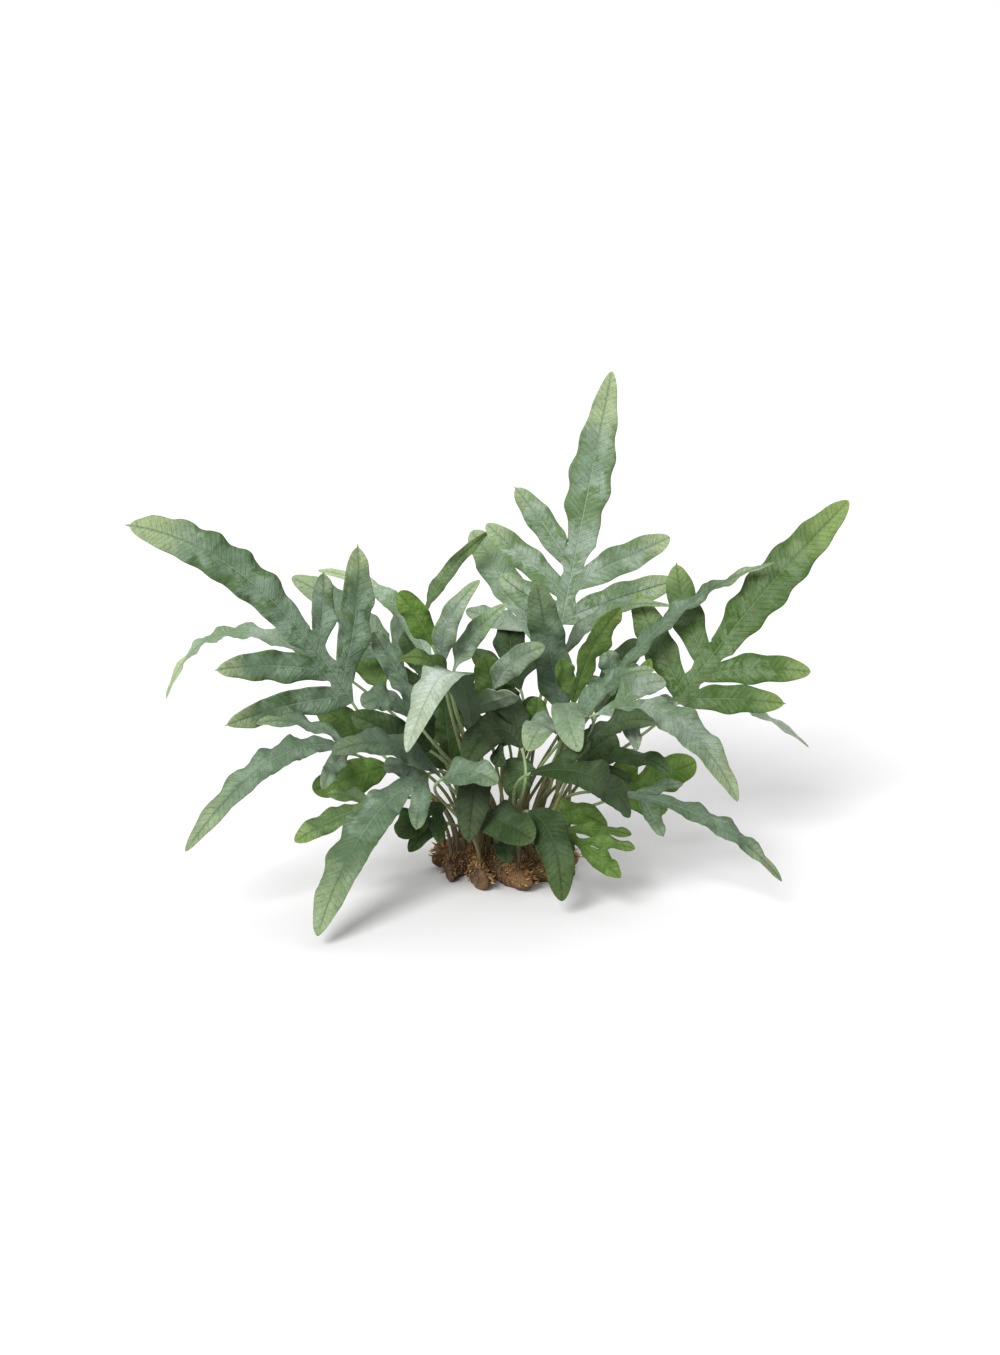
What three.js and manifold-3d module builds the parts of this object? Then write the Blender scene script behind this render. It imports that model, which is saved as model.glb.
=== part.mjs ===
// Blue star fern: a creeping, scaly rhizome that carries separate strap-lobed fronds.
// Millimetres and degrees, +Z up. The origin is the middle of the rhizome's flat underside.
import * as THREE from "three";
import { mergeVertices } from "three/addons/utils/BufferGeometryUtils.js";
import Module from "manifold-3d";

const wasm = await Module();
wasm.setup();
const { Manifold, Mesh: SolidMesh } = wasm;

// Rhizome: arms that creep out from one old middle, with the stems standing in sockets on them.
const ARM_COUNT = 10;
const ARM_RADIUS = 8.4;
const ARM_HEIGHT = 6.9;
const ARM_SIDES = 8;
const ARM_RINGS = [-4, 7, 14, 21, 28, 35, 42, 49];
const ARM_SPIRAL = 6;
const TIP_REACH = 6;
const TIP_SPREAD = 10;
const TIP_TURN = 26;
const FIRST_FOOT = 10;
const FOOT_SPACING = 7.5;
const FOOT_HEIGHT = 11;
const SOCKET_DEPTH = 4;
const SOCKET_RADIUS = 2.1;
const SOCKET_CUT = 20;
const SOCKET_GAP = 0.3;

// Stems: thin wires that widen towards the foot.
const STEM_TOP_RADIUS = 1.1;
const STEM_FOOT_RADIUS = 1.5;
const STEM_STEPS = 5;
const STEM_CORNERS = [150, 90, 30, -30, -90, -150];

// Blades: thin sheets with a folded midrib, deep strap lobes and waved margins.
const BLADE_THICKNESS = 0.8;
const COLLAR_HALF = 1.3;
const MIDRIB_FOLD = 0.18;
const WEB_SHARE = 0.24;
const LOBE_BASE_SHARE = 0.25;
const LOBE_GAP = 3.5;
const LOBE_WIDTH_SHARE = 0.34;
const LOBE_TAPER = 0.15;
const LOBE_NECK = 0.78;
const NECK_END = 0.45;
const TAPER_START = 0.3;
const LOBE_SAG = 0.1;
const LOBE_WAVE_LENGTH = 14;
const END_WAVE_LENGTH = 15;
const MARGIN_SCALLOP = 0.09;
const ROUND_END_AT = 0.94;

// Colours of the faces that show most.
const TONES = {
  light: "#8aa083",
  blue: "#6f8a6a",
  green: "#6a8052",
  lime: "#5a7a38",
  deep: "#587050",
  dark: "#42573a",
  pale: "#a9bba6",
};
const RHIZOME_COLOUR = "#8a6a3a";

// A lobe: where it leaves the rachis in percent, its length, its lean from the rachis,
// its curl towards the tip and its width in percent.
function lobe(side, at, length, lean, curl, width) {
  return { side, at, length, lean, curl, width };
}

function left(at, length, lean, curl = 14, width = 100) {
  return lobe(-1, at, length, lean, curl, width);
}

function right(at, length, lean, curl = 14, width = 100) {
  return lobe(1, at, length, lean, curl, width);
}

// A frond: its foot as arm and place on the arm, the points where the blade begins, crests and
// ends, the direction its upper side looks, its width, tone, lobes, stem bow, twist and wave, and
// how much its end lobe tapers.
function frond(name, foot, collar, crest, tip, face, width, tone,
  lobes = [], bow = [0, 0], twist = 0, wave = 2.8, taper = 0.15) {
  return { name, foot, collar, crest, tip, face, width, tone, lobes, bow, twist, wave, taper };
}

const FRONDS = [
  frond("left_high", [4, 5], [-115, -20, 138], [-191, -40, 239], [-281, -25, 275], [-80, 25], 31, "blue",
    [left(2, 87, 64, -8), right(8, 88, 57, 6, 112), left(13, 79, 47, -2, 110), right(20, 46, 54, 4, 84)],
    [0, 0], 0, 3, 0.05),
  frond("top", [2, 1], [43, 30, 186], [62, 55, 278], [81, 60, 377], [-92, 10], 34, "light",
    [left(2, 50, 74, 16, 95), right(3, 84, 56, -7), left(14, 74, 60, 1, 94), right(19, 76, 51, -4, 104),
      left(27, 66, 42, -10, 92)], [0, 0], 0, 2.2, 0.42),
  frond("right_high", [0, 5], [130, -5, 134], [191, 10, 211], [262, 45, 280], [-96, 20], 34, "green",
    [right(3, 72, 50, -8), left(6, 78, 64, 4, 112), right(17, 76, 42, -14, 102), left(21, 72, 63, 18, 108)],
    [0, 0], 0, 1.6, 0.25),
  frond("left_ribbon", [3, 5], [-121, 60, 134], [-216, 90, 165], [-273, 110, 104], [-90, 68], 19, "light",
    [], [0, 0], 0, 2.4, 0.3),
  frond("right_droop", [8, 5], [67, -100, 152], [122, -105, 148], [166, -130, 94], [-70, 50], 30, "light",
    [left(16, 36, 50), right(14, 36, 60)], [8, 14], 0, 2.8, 0.4),
  frond("pale_fold", [6, 0], [-24, -42, 117], [-41, -88, 180], [-71, -122, 128], [-100, 82], 34, "pale",
    [left(14, 42, 66, 12, 80)], [0, 0], 0, 1.5, 0.3),
  frond("twist_ribbon", [3, 3], [-63, 64, 184], [-44, 80, 217], [-9, 110, 245], [-90, 20], 12, "green",
    [], [0, 0], 110, 2, 0.3),
  frond("back_left_high", [2, 3], [31, 60, 154], [4, 100, 197], [-27, 140, 237], [-100, 30], 28, "light",
    [left(25, 50, 46, 14, 90), right(30, 40, 50, 14, 85)]),
  frond("right_ribbon", [0, 2], [80, -25, 155], [135, -5, 209], [203, 5, 240], [-90, 74], 17, "blue",
    [], [5, 15], 0, 3, 0.4),
  frond("right_low_trail", [9, 2], [70, -60, 80], [144, -105, 75], [201, -115, 29], [-80, 55], 17, "blue",
    [left(18, 30, 50, 14, 110), right(22, 36, 50, 14, 110)], [0, 5], 0, 2.6, 0.4),
  frond("front_left_trail", [6, 3], [-57, -76, 99], [-101, -120, 71], [-133, -175, 9],
    [-110, 35], 31, "blue",
    [right(6, 24, 60), left(8, 50, 34, 12, 80)]),
  frond("left_low_trail", [5, 4], [-111, -50, 106], [-165, -100, 119], [-229, -140, 60],
    [-100, 45], 22, "blue",
    [right(10, 68, 36), left(10, 62, 36, 8)], [5, 5]),
  frond("left_green", [4, 4], [-97, 20, 87], [-122, 35, 105], [-152, 50, 118], [-90, -10], 28, "lime",
    [], [0, 5]),
  frond("front_left_strap", [6, 4], [-48, -90, 102], [-84, -110, 132], [-125, -120, 128],
    [-90, 55], 25, "deep"),
  frond("left_underleaf", [5, 3], [-85, -45, 96], [-115, -60, 91], [-144, -55, 80], [-90, 10], 26, "lime"),
  frond("left_low", [5, 5], [-84, -65, 76], [-118, -85, 71], [-154, -105, 56], [-90, 50], 19, "green",
    [right(25, 30, 46), left(35, 30, 46)], [0, 10], 0, 2),
  frond("low_left_dark", [6, 2], [-44, -48, 66], [-62, -58, 62], [-80, -66, 46], [-95, 40], 24, "dark",
    [left(25, 26, 58, 14, 85)]),
  frond("front_hang_left", [7, 1], [-19, -85, 111], [-23, -95, 91], [-27, -110, 57], [-90, 20], 26, "dark",
    [], [-15, 10]),
  frond("front_light", [6, 5], [-46, -105, 104], [-25, -120, 114], [-5, -130, 108], [-90, 50], 24, "blue"),
  frond("front_dark_point", [9, 0], [22, -60, 97], [10, -62, 94], [9, -64, 74], [-90, 40], 26, "dark",
    [], [5, 0]),
  frond("front_low_broad", [7, 2], [-16, -80, 71], [3, -105, 69], [21, -120, 62], [-100, 40], 30, "dark",
    [], [-5, 0]),
  frond("front_hang_right", [7, 4], [17, -85, 73], [34, -110, 60], [41, -115, 13], [-90, 20], 27, "dark",
    [], [5, 0]),
  frond("right_low_dark", [9, 1], [41, -65, 54], [63, -95, 45], [84, -115, 32], [-90, 40], 17, "lime",
    [left(12, 45, 45), right(20, 20, 50), left(36, 38, 40)], [-10, -5], 0, 2.8, 0.4),
  frond("right_yellow", [0, 0], [30, -42, 55], [53, -48, 60], [77, -50, 49], [-90, 40], 20, "lime",
    [], [10, 5]),
  frond("right_dark_broad", [7, 5], [18, -110, 110], [60, -135, 116], [91, -105, 76], [-95, 45], 27, "dark",
    [left(22, 30, 50)], [0, -5]),
  frond("right_green_low", [0, 3], [79, 0, 55], [115, 0, 72], [147, 5, 84], [-90, 5], 28, "lime",
    [left(15, 30, 50), right(20, 30, 50)], [0, 0], 0, 2.2),
  frond("right_small_droop", [0, 1], [67, -50, 99], [100, -55, 105], [123, -65, 94], [-90, 65], 18, "dark",
    [], [5, 0]),
  frond("centre_pale_hang", [8, 3], [40, -76, 133], [27, -100, 143], [16, -125, 130],
    [-95, 50], 25, "light",
    [], [-8, -3]),
  frond("centre_fold", [9, 3], [59, -85, 148], [45, -110, 153], [53, -130, 131], [-90, 45], 25, "light",
    [], [-5, 0]),
  frond("lime_twist", [1, 1], [51, -25, 138], [64, -30, 181], [86, -25, 213], [-60, -15], 24, "lime",
    [left(15, 26, 50)], [-5, 0]),
  frond("lime_strap", [1, 2], [42, 20, 159], [76, 15, 199], [127, 5, 206], [-100, 50], 14, "light",
    [], [0, 0], 0, 2, 0.5),
  frond("centre_column", [1, 0], [44, -15, 121], [32, -25, 184], [23, -30, 233], [-90, 10], 28, "deep"),
  frond("centre_pale", [7, 3], [-9, -42, 154], [7, -50, 178], [30, -58, 191], [-90, 15], 19, "light",
    [], [5, 0]),
  frond("left_blade_a", [4, 0], [-38, -18, 164], [-21, -22, 194], [2, -40, 219], [-90, 20], 17, "light",
    [], [5, 5], 0, 2.2, 0.4),
  frond("left_blade_b", [5, 1], [-46, -20, 167], [-41, -40, 207], [-18, -35, 236], [-90, 25], 18, "light",
    [], [-5, -10], 0, 2.2, 0.4),
  frond("centre_back_leaf", [3, 0], [-2, -27, 115], [-3, -29, 134], [-7, -33, 157], [-90, 5], 34, "dark",
    [left(14, 26, 66, 10, 75), right(22, 26, 66, 10, 75)]),
  frond("left_strap_high", [3, 2], [-56, 30, 148], [-89, 60, 198], [-148, 90, 215], [-90, 50], 16, "light",
    [], [0, 0], 0, 2.4, 0.3),
  frond("left_back", [3, 4], [-78, 65, 133], [-114, 100, 171], [-172, 130, 201], [-90, 30], 25, "light",
    [right(20, 36, 44, 14, 90), left(25, 40, 46, 14, 90)], [0, 5]),
  frond("left_small_curl", [4, 3], [-74, -5, 142], [-88, -5, 169], [-100, -5, 189], [-60, 20], 20, "blue"),
  frond("left_lime_small", [4, 2], [-55, -10, 180], [-68, -20, 208], [-80, -20, 223], [-90, 0], 20, "lime",
    [], [0, -5]),
  frond("left_lime_strap", [5, 0], [-33, -20, 146], [-54, -48, 177], [-80, -40, 176], [-90, 50], 15, "lime",
    [], [0, -15]),
  frond("left_pale_short", [6, 1], [-64, -70, 136], [-84, -80, 157], [-105, -85, 153],
    [-90, 45], 22, "deep",
    [right(20, 24, 50)]),
  frond("centre_dark", [3, 1], [-41, 16, 72], [-45, 14, 111], [-47, 12, 148], [-90, 0], 34, "dark",
    [left(16, 30, 62, 14, 90), right(20, 34, 64, 14, 85)]),
  frond("centre_green", [2, 0], [2, -12, 107], [-6, -14, 138], [-16, -18, 176], [-90, 0], 30, "lime",
    [right(18, 28, 58, 14, 85)]),
  frond("centre_oval", [8, 1], [23, -52, 128], [23, -51, 139], [23, -54, 153], [-90, 10], 18, "lime",
    [], [-5, 15]),
  frond("centre_back_dark", [2, 2], [12, 50, 129], [5, 75, 150], [4, 90, 176], [-90, -5], 26, "dark",
    [right(20, 34, 50), left(25, 34, 50)]),
  frond("left_back_dark", [2, 4], [-59, 50, 120], [-67, 65, 149], [-81, 85, 166], [-90, 5], 24, "dark",
    [left(20, 30, 50)]),
  frond("left_small_pale", [2, 5], [-94, 80, 120], [-111, 110, 132], [-129, 130, 140],
    [-90, 30], 20, "lime"),
  frond("right_strap", [8, 2], [49, -52, 127], [75, -48, 160], [110, -62, 174], [-90, 45], 16, "blue",
    [], [-11, 2], 0, 2.4, 0.3),
  frond("right_small_rosette", [0, 4], [84, 10, 132], [81, 5, 155], [76, 10, 171], [-90, 15], 18, "blue",
    [left(20, 22, 60), right(25, 20, 60)]),
  frond("right_small_leaf", [9, 4], [74, -40, 141], [93, -38, 152], [109, -20, 173], [-90, 30], 15, "lime",
    [], [0, 20]),
  frond("right_back_ribbon", [1, 4], [98, 60, 108], [176, 95, 106], [247, 115, 62], [-90, 60], 14, "pale",
    [], [0, 0], 0, 2.4, 0.4),
  frond("right_dark_strap", [8, 4], [56, -85, 125], [81, -125, 153], [107, -120, 151],
    [-90, 45], 18, "dark",
    [], [5, -30]),
  frond("right_back_dark", [1, 3], [71, 50, 107], [85, 90, 126], [109, 130, 149], [-80, 10], 26, "dark",
    [right(20, 34, 50)]),
  frond("low_left_small", [5, 2], [-45, -40, 50], [-56, -50, 49], [-73, -60, 32], [-100, 50], 18, "dark"),
  frond("low_centre_small", [7, 0], [-2, -60, 43], [0, -65, 37], [1, -70, 27], [-90, 10], 17, "dark",
    [], [0, 5]),
  frond("left_dark_mid", [4, 1], [-57, -22, 101], [-79, -34, 116], [-116, -35, 134], [-90, 0], 26, "dark",
    [right(18, 30, 50)], [0, -5]),
  frond("centre_arch", [8, 0], [12, -70, 117], [-8, -65, 130], [-30, -95, 111], [-90, 35], 26, "dark",
    [left(18, 30, 55, 14, 90), right(20, 28, 55, 14, 90)], [-5, -30], 0, 2.2),
  frond("right_inner_dark", [9, 5], [54, -30, 90], [66, -32, 104], [82, -36, 121], [-90, 20], 33, "dark",
    [left(14, 28, 66, 10, 75), right(22, 34, 64, 10, 75)], [5, 5]),
];

const radians = THREE.MathUtils.degToRad;

// Eases from 0 to 1 as x goes from 0 to 1.
function ease(x) {
  const held = Math.min(1, Math.max(0, x));
  return held * held * (3 - 2 * held);
}

// A repeatable draw between 0 and 1.
function draw(seed) {
  const spread = Math.sin(seed * 12.9898) * 43758.5453;
  return spread - Math.floor(spread);
}

// Angle of an arm where it is a given distance from the middle.
function armAngle(arm, distance) {
  return radians((360 / ARM_COUNT) * arm + (ARM_SPIRAL * (distance - FIRST_FOOT)) / FOOT_SPACING);
}

// Lower end of a stem, inside its socket.
function footPoint([arm, place]) {
  const distance = FIRST_FOOT + FOOT_SPACING * place;
  const angle = armAngle(arm, distance);
  return new THREE.Vector3(distance * Math.cos(angle), distance * Math.sin(angle), FOOT_HEIGHT);
}

// The curve of a blade's midrib and the directions along, across and off the sheet.
function rachisOf(plan) {
  const start = new THREE.Vector3(...plan.collar);
  const end = new THREE.Vector3(...plan.tip);
  const pull = new THREE.Vector3(...plan.crest).multiplyScalar(2).addScaledVector(start, -0.5);
  pull.addScaledVector(end, -0.5);
  const curve = new THREE.QuadraticBezierCurve3(start, pull, end);
  const azimuth = radians(plan.face[0]);
  const elevation = radians(plan.face[1]);
  const face = new THREE.Vector3(
    Math.cos(azimuth) * Math.cos(elevation),
    Math.sin(azimuth) * Math.cos(elevation),
    Math.sin(elevation),
  );
  let length = 0;
  for (let step = 0; step < 32; step += 1) {
    length += curve.getPoint(step / 32).distanceTo(curve.getPoint((step + 1) / 32));
  }
  function directions(t) {
    const along = curve.getTangent(t).normalize();
    const off = face.clone().addScaledVector(along, -face.dot(along)).normalize();
    const across = new THREE.Vector3().crossVectors(along, off);
    const turn = radians(plan.twist) * (t - 0.5);
    const turnedOff = off.clone().multiplyScalar(Math.cos(turn)).addScaledVector(across, Math.sin(turn));
    const turnedAcross = across.multiplyScalar(Math.cos(turn)).addScaledVector(off, -Math.sin(turn));
    return { along, off: turnedOff, across: turnedAcross };
  }
  return { curve, length, start, pull, directions };
}

// Half width of a lobe along its length, as a share of its widest half width. The taper is how
// much narrower it is before the round end.
function lanceShape(u, taper) {
  const roundEnd = (1 - u ** 7) ** 0.65;
  const narrowing = 1 - taper * ease((u - TAPER_START) / (1 - TAPER_START));
  return roundEnd * (LOBE_NECK + (1 - LOBE_NECK) * ease(u / NECK_END)) * narrowing;
}

// Places along a lobe: evenly spaced crests and hollows, then the tip.
function lobeStations(waves) {
  const stations = [];
  for (let step = 0; step <= waves; step += 1) {
    stations.push((ROUND_END_AT * step) / waves);
  }
  stations.push(1);
  return stations;
}

// The blade laid flat: x along the rachis, y across, h off the sheet, and its triangles.
function flatBlade(plan, index, rachisLength) {
  const points = [];
  const triangles = [];
  const known = new Map();
  const webHalf = WEB_SHARE * plan.width;

  function vertex([x, y, h]) {
    const key = `${Math.round(x * 1000)},${Math.round(y * 1000)}`;
    if (!known.has(key)) {
      known.set(key, points.length);
      points.push([x, y, h]);
    }
    return known.get(key);
  }

  function triangle(a, b, c, flipped) {
    if (a !== b && b !== c && a !== c) {
      triangles.push(flipped ? [a, b, c] : [a, c, b]);
    }
  }

  function patch(stations, columns, place, flipped) {
    const rows = stations.map((u) => {
      const row = [];
      for (let column = 0; column <= columns; column += 1) {
        row.push(vertex(place(u, column / columns)));
      }
      return row;
    });
    for (let i = 0; i + 1 < rows.length; i += 1) {
      for (let j = 0; j < columns; j += 1) {
        triangle(rows[i][j], rows[i + 1][j], rows[i + 1][j + 1], flipped);
        triangle(rows[i][j], rows[i + 1][j + 1], rows[i][j + 1], flipped);
      }
    }
  }

  // Where each lobe sits on its side of the web, and the outline of the web between them.
  const outline = {};
  const reach = {};
  const placed = [];
  for (const side of [-1, 1]) {
    const own = plan.lobes.filter((item) => item.side === side).sort((a, b) => a.at - b.at);
    outline[side] = [[0, COLLAR_HALF]];
    let from = 1;
    own.forEach((item, order) => {
      const half = (LOBE_BASE_SHARE * plan.width * item.width) / 100;
      const begin = Math.max((item.at * rachisLength) / 100 - half, from);
      for (let step = 0; step <= 2; step += 1) {
        outline[side].push([begin + half * step, webHalf]);
      }
      from = begin + 2 * half + LOBE_GAP;
      placed.push({ ...item, order, half, middle: begin + half });
    });
    reach[side] = own.length > 0 ? from - LOBE_GAP : 0;
  }
  const lobed = placed.length > 0;
  const webEnd = lobed ? Math.max(reach[-1], reach[1]) + LOBE_GAP : 0;
  const endHalf = {};
  for (const side of [-1, 1]) {
    const first = reach[side] > 0 ? webHalf : COLLAR_HALF;
    const widened = first + 0.45 * Math.max(0, webEnd - reach[side] - LOBE_GAP);
    endHalf[side] = lobed ? Math.min(0.42 * plan.width, widened) : COLLAR_HALF;
    outline[side].push([webEnd, endHalf[side]]);
  }

  // The web on both sides of the rachis.
  if (lobed) {
    const places = [...outline[-1], ...outline[1]].map(([x]) => Math.round(x * 10000) / 10000);
    const along = [...new Set(places)].sort((a, b) => a - b);
    const spine = along.map((x) => vertex([x, 0, 0]));
    for (const side of [-1, 1]) {
      const edge = outline[side];
      const rim = edge.map(([x, y]) => vertex([x, side * y, MIDRIB_FOLD * Math.min(y, webHalf)]));
      let i = 0;
      let j = 0;
      while (i < spine.length - 1 || j < rim.length - 1) {
        const spineLeft = i < spine.length - 1;
        if (j === rim.length - 1 || (spineLeft && along[i + 1] <= edge[j + 1][0])) {
          triangle(spine[i], spine[i + 1], rim[j], side < 0);
          i += 1;
        } else {
          triangle(spine[i], rim[j + 1], rim[j], side < 0);
          j += 1;
        }
      }
    }
  }

  // Side lobes, each a strap on its own curved midvein.
  for (const item of placed) {
    const lean = radians(item.lean);
    const bend = radians(item.curl);
    const waves = Math.max(3, Math.round(item.length / LOBE_WAVE_LENGTH));
    const widest = (LOBE_WIDTH_SHARE * plan.width * item.width) / 100;
    const firstDraw = draw(index * 7 + item.order * 3 + item.side);
    const secondDraw = draw(index * 5 + item.order * 2 + item.side + 9);
    const place = (u, column) => {
      const v = 2 * column - 1;
      const angle = lean - bend * u;
      const midX = item.middle + (item.length * (Math.sin(lean) - Math.sin(angle))) / bend;
      const midY = webHalf + (item.length * (Math.cos(angle) - Math.cos(lean))) / bend;
      const sign = (v > 0 ? firstDraw : secondDraw) > 0.5 ? 1 : -1;
      const ripple = sign * Math.cos((Math.PI * waves * u) / ROUND_END_AT);
      const full = widest * lanceShape(u, LOBE_TAPER) * (1 + MARGIN_SCALLOP * ripple * (1 - u ** 3));
      const half = u < 1 ? full : 0;
      const free = ease(u / 0.25);
      const strapX = midX + v * half * Math.sin(angle);
      const strapY = midY - v * half * Math.cos(angle);
      const baseX = item.middle + v * item.half;
      let h = MIDRIB_FOLD * (webHalf + free * Math.abs(v) * half) - LOBE_SAG * item.length * u * u;
      h += plan.wave * Math.abs(v) ** 1.5 * ripple * free * (1 - u ** 4);
      return [baseX + (strapX - baseX) * free, item.side * (webHalf + (strapY - webHalf) * free), h];
    };
    patch(lobeStations(waves), 2, place, item.side > 0);
  }

  // The end lobe, one half at a time.
  const endLength = rachisLength - webEnd;
  const endWaves = Math.max(4, Math.round(endLength / END_WAVE_LENGTH));
  for (const side of [-1, 1]) {
    const sign = draw(index * 3 + side + 4) > 0.5 ? 1 : -1;
    const place = (u, v) => {
      const ripple = sign * Math.cos((Math.PI * endWaves * u) / ROUND_END_AT);
      const scallop = 1 + MARGIN_SCALLOP * ripple * (1 - u ** 3);
      const full = (plan.width / 2) * lanceShape(u, plan.taper) * scallop;
      const free = ease(u / 0.22);
      const half = u < 1 ? endHalf[side] + (full - endHalf[side]) * free : 0;
      let h = MIDRIB_FOLD * Math.min(v * half, webHalf);
      h += plan.wave * v ** 1.5 * ripple * free * (1 - u ** 4);
      return [webEnd + endLength * u, side * v * half, h];
    };
    patch(lobeStations(endWaves), 1, place, side < 0);
  }
  return { points, triangles };
}

// The flat blade bent along its rachis.
function bentPoints(points, rachis) {
  return points.map(([x, y, h]) => {
    const t = x / rachis.length;
    const held = Math.min(1, Math.max(0, t));
    const { along, off, across } = rachis.directions(held);
    const point = rachis.curve.getPoint(held);
    point.addScaledVector(along, (t - held) * rachis.length);
    point.addScaledVector(across, y);
    return point.addScaledVector(off, h);
  });
}

// Mean direction of the triangles round each point.
function sheetNormals(points, triangles) {
  const normals = points.map(() => new THREE.Vector3());
  for (const [a, b, c] of triangles) {
    const first = points[b].clone().sub(points[a]);
    const second = points[c].clone().sub(points[a]);
    const facing = first.cross(second);
    for (const corner of [a, b, c]) {
      normals[corner].add(facing);
    }
  }
  return normals.map((normal) => normal.normalize());
}

// Middle line of a stem from its foot to the blade: straight out of the socket, then a bend.
function stemLine(plan, rachis) {
  const foot = footPoint(plan.foot);
  const lip = foot.clone().add(new THREE.Vector3(0, 0, SOCKET_DEPTH + 2));
  const reach = lip.distanceTo(rachis.start);
  const bow = new THREE.Vector3(plan.bow[0], plan.bow[1], 0);
  const heading = rachis.pull.clone().sub(rachis.start).normalize();
  const rising = lip.clone().add(new THREE.Vector3(0, 0, 0.38 * reach)).add(bow);
  const joining = rachis.start.clone().addScaledVector(heading, -0.3 * reach).add(bow);
  const bend = new THREE.CubicBezierCurve3(lip, rising, joining, rachis.start);
  return [foot, ...bend.getPoints(STEM_STEPS)];
}

// One frond as a closed solid: the thickened blade and its stem.
function frondGeometry(plan, index) {
  const rachis = rachisOf(plan);
  const { points, triangles } = flatBlade(plan, index, rachis.length);
  const middle = bentPoints(points, rachis);
  const normals = sheetNormals(middle, triangles);
  const count = middle.length;
  const corners = [];
  for (const side of [0.5, -0.5]) {
    middle.forEach((point, k) => {
      corners.push(point.clone().addScaledVector(normals[k], side * BLADE_THICKNESS));
    });
  }
  const faces = [...triangles];
  const edges = new Set();
  for (const [a, b, c] of triangles) {
    faces.push([a + count, c + count, b + count]);
    edges.add(`${a},${b}`).add(`${b},${c}`).add(`${c},${a}`);
  }

  // The blade begins with three points in a row, where the stem takes over.
  const beginning = points.map((point, k) => [point, k]).filter(([[x]]) => Math.abs(x) < 1e-6);
  beginning.sort((a, b) => a[0][1] - b[0][1]);
  const [leftCorner, midCorner, rightCorner] = beginning.map(([, k]) => k);
  const collar = new Set([leftCorner, midCorner, rightCorner]);
  for (const edge of edges) {
    const [from, to] = edge.split(",").map(Number);
    const open = !edges.has(`${to},${from}`);
    if (open && !(collar.has(from) && collar.has(to))) {
      faces.push([from, from + count, to + count], [from, to + count, to]);
    }
  }

  // Rings of the stem from the blade down to the foot.
  const line = stemLine(plan, rachis).reverse();
  let ring = [leftCorner, midCorner, rightCorner, rightCorner + count, midCorner + count, leftCorner + count];
  const normal = rachis.directions(0).off;
  for (let step = 1; step < line.length; step += 1) {
    const below = line[Math.min(step + 1, line.length - 1)];
    const along = line[step - 1].clone().sub(below).normalize();
    normal.addScaledVector(along, -normal.dot(along)).normalize();
    const across = new THREE.Vector3().crossVectors(along, normal);
    const share = step / (line.length - 1);
    const radius = STEM_TOP_RADIUS + (STEM_FOOT_RADIUS - STEM_TOP_RADIUS) * share;
    const next = STEM_CORNERS.map((degrees) => {
      const corner = line[step].clone();
      corner.addScaledVector(across, radius * Math.cos(radians(degrees)));
      corner.addScaledVector(normal, radius * Math.sin(radians(degrees)));
      corners.push(corner);
      return corners.length - 1;
    });
    for (let k = 0; k < ring.length; k += 1) {
      const after = (k + 1) % ring.length;
      faces.push([ring[after], ring[k], next[k]], [ring[after], next[k], next[after]]);
    }
    ring = next;
  }
  for (let k = 1; k + 1 < ring.length; k += 1) {
    faces.push([ring[0], ring[k + 1], ring[k]]);
  }
  return closedGeometry(corners, faces);
}

// A closed surface from its corners and triangles.
function closedGeometry(corners, faces) {
  const geometry = new THREE.BufferGeometry();
  geometry.setAttribute("position", new THREE.Float32BufferAttribute(corners.flatMap((p) => p.toArray()), 3));
  geometry.setIndex(faces.flat());
  return geometry;
}

// A closed surface as a solid that can be joined and cut.
function solidOf(geometry) {
  const bare = geometry.clone();
  bare.deleteAttribute("normal");
  bare.deleteAttribute("uv");
  const merged = mergeVertices(bare, 1e-4);
  return new Manifold(new SolidMesh({
    numProp: 3,
    vertProperties: new Float32Array(merged.attributes.position.array),
    triVerts: new Uint32Array(merged.index.array),
  }));
}

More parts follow.
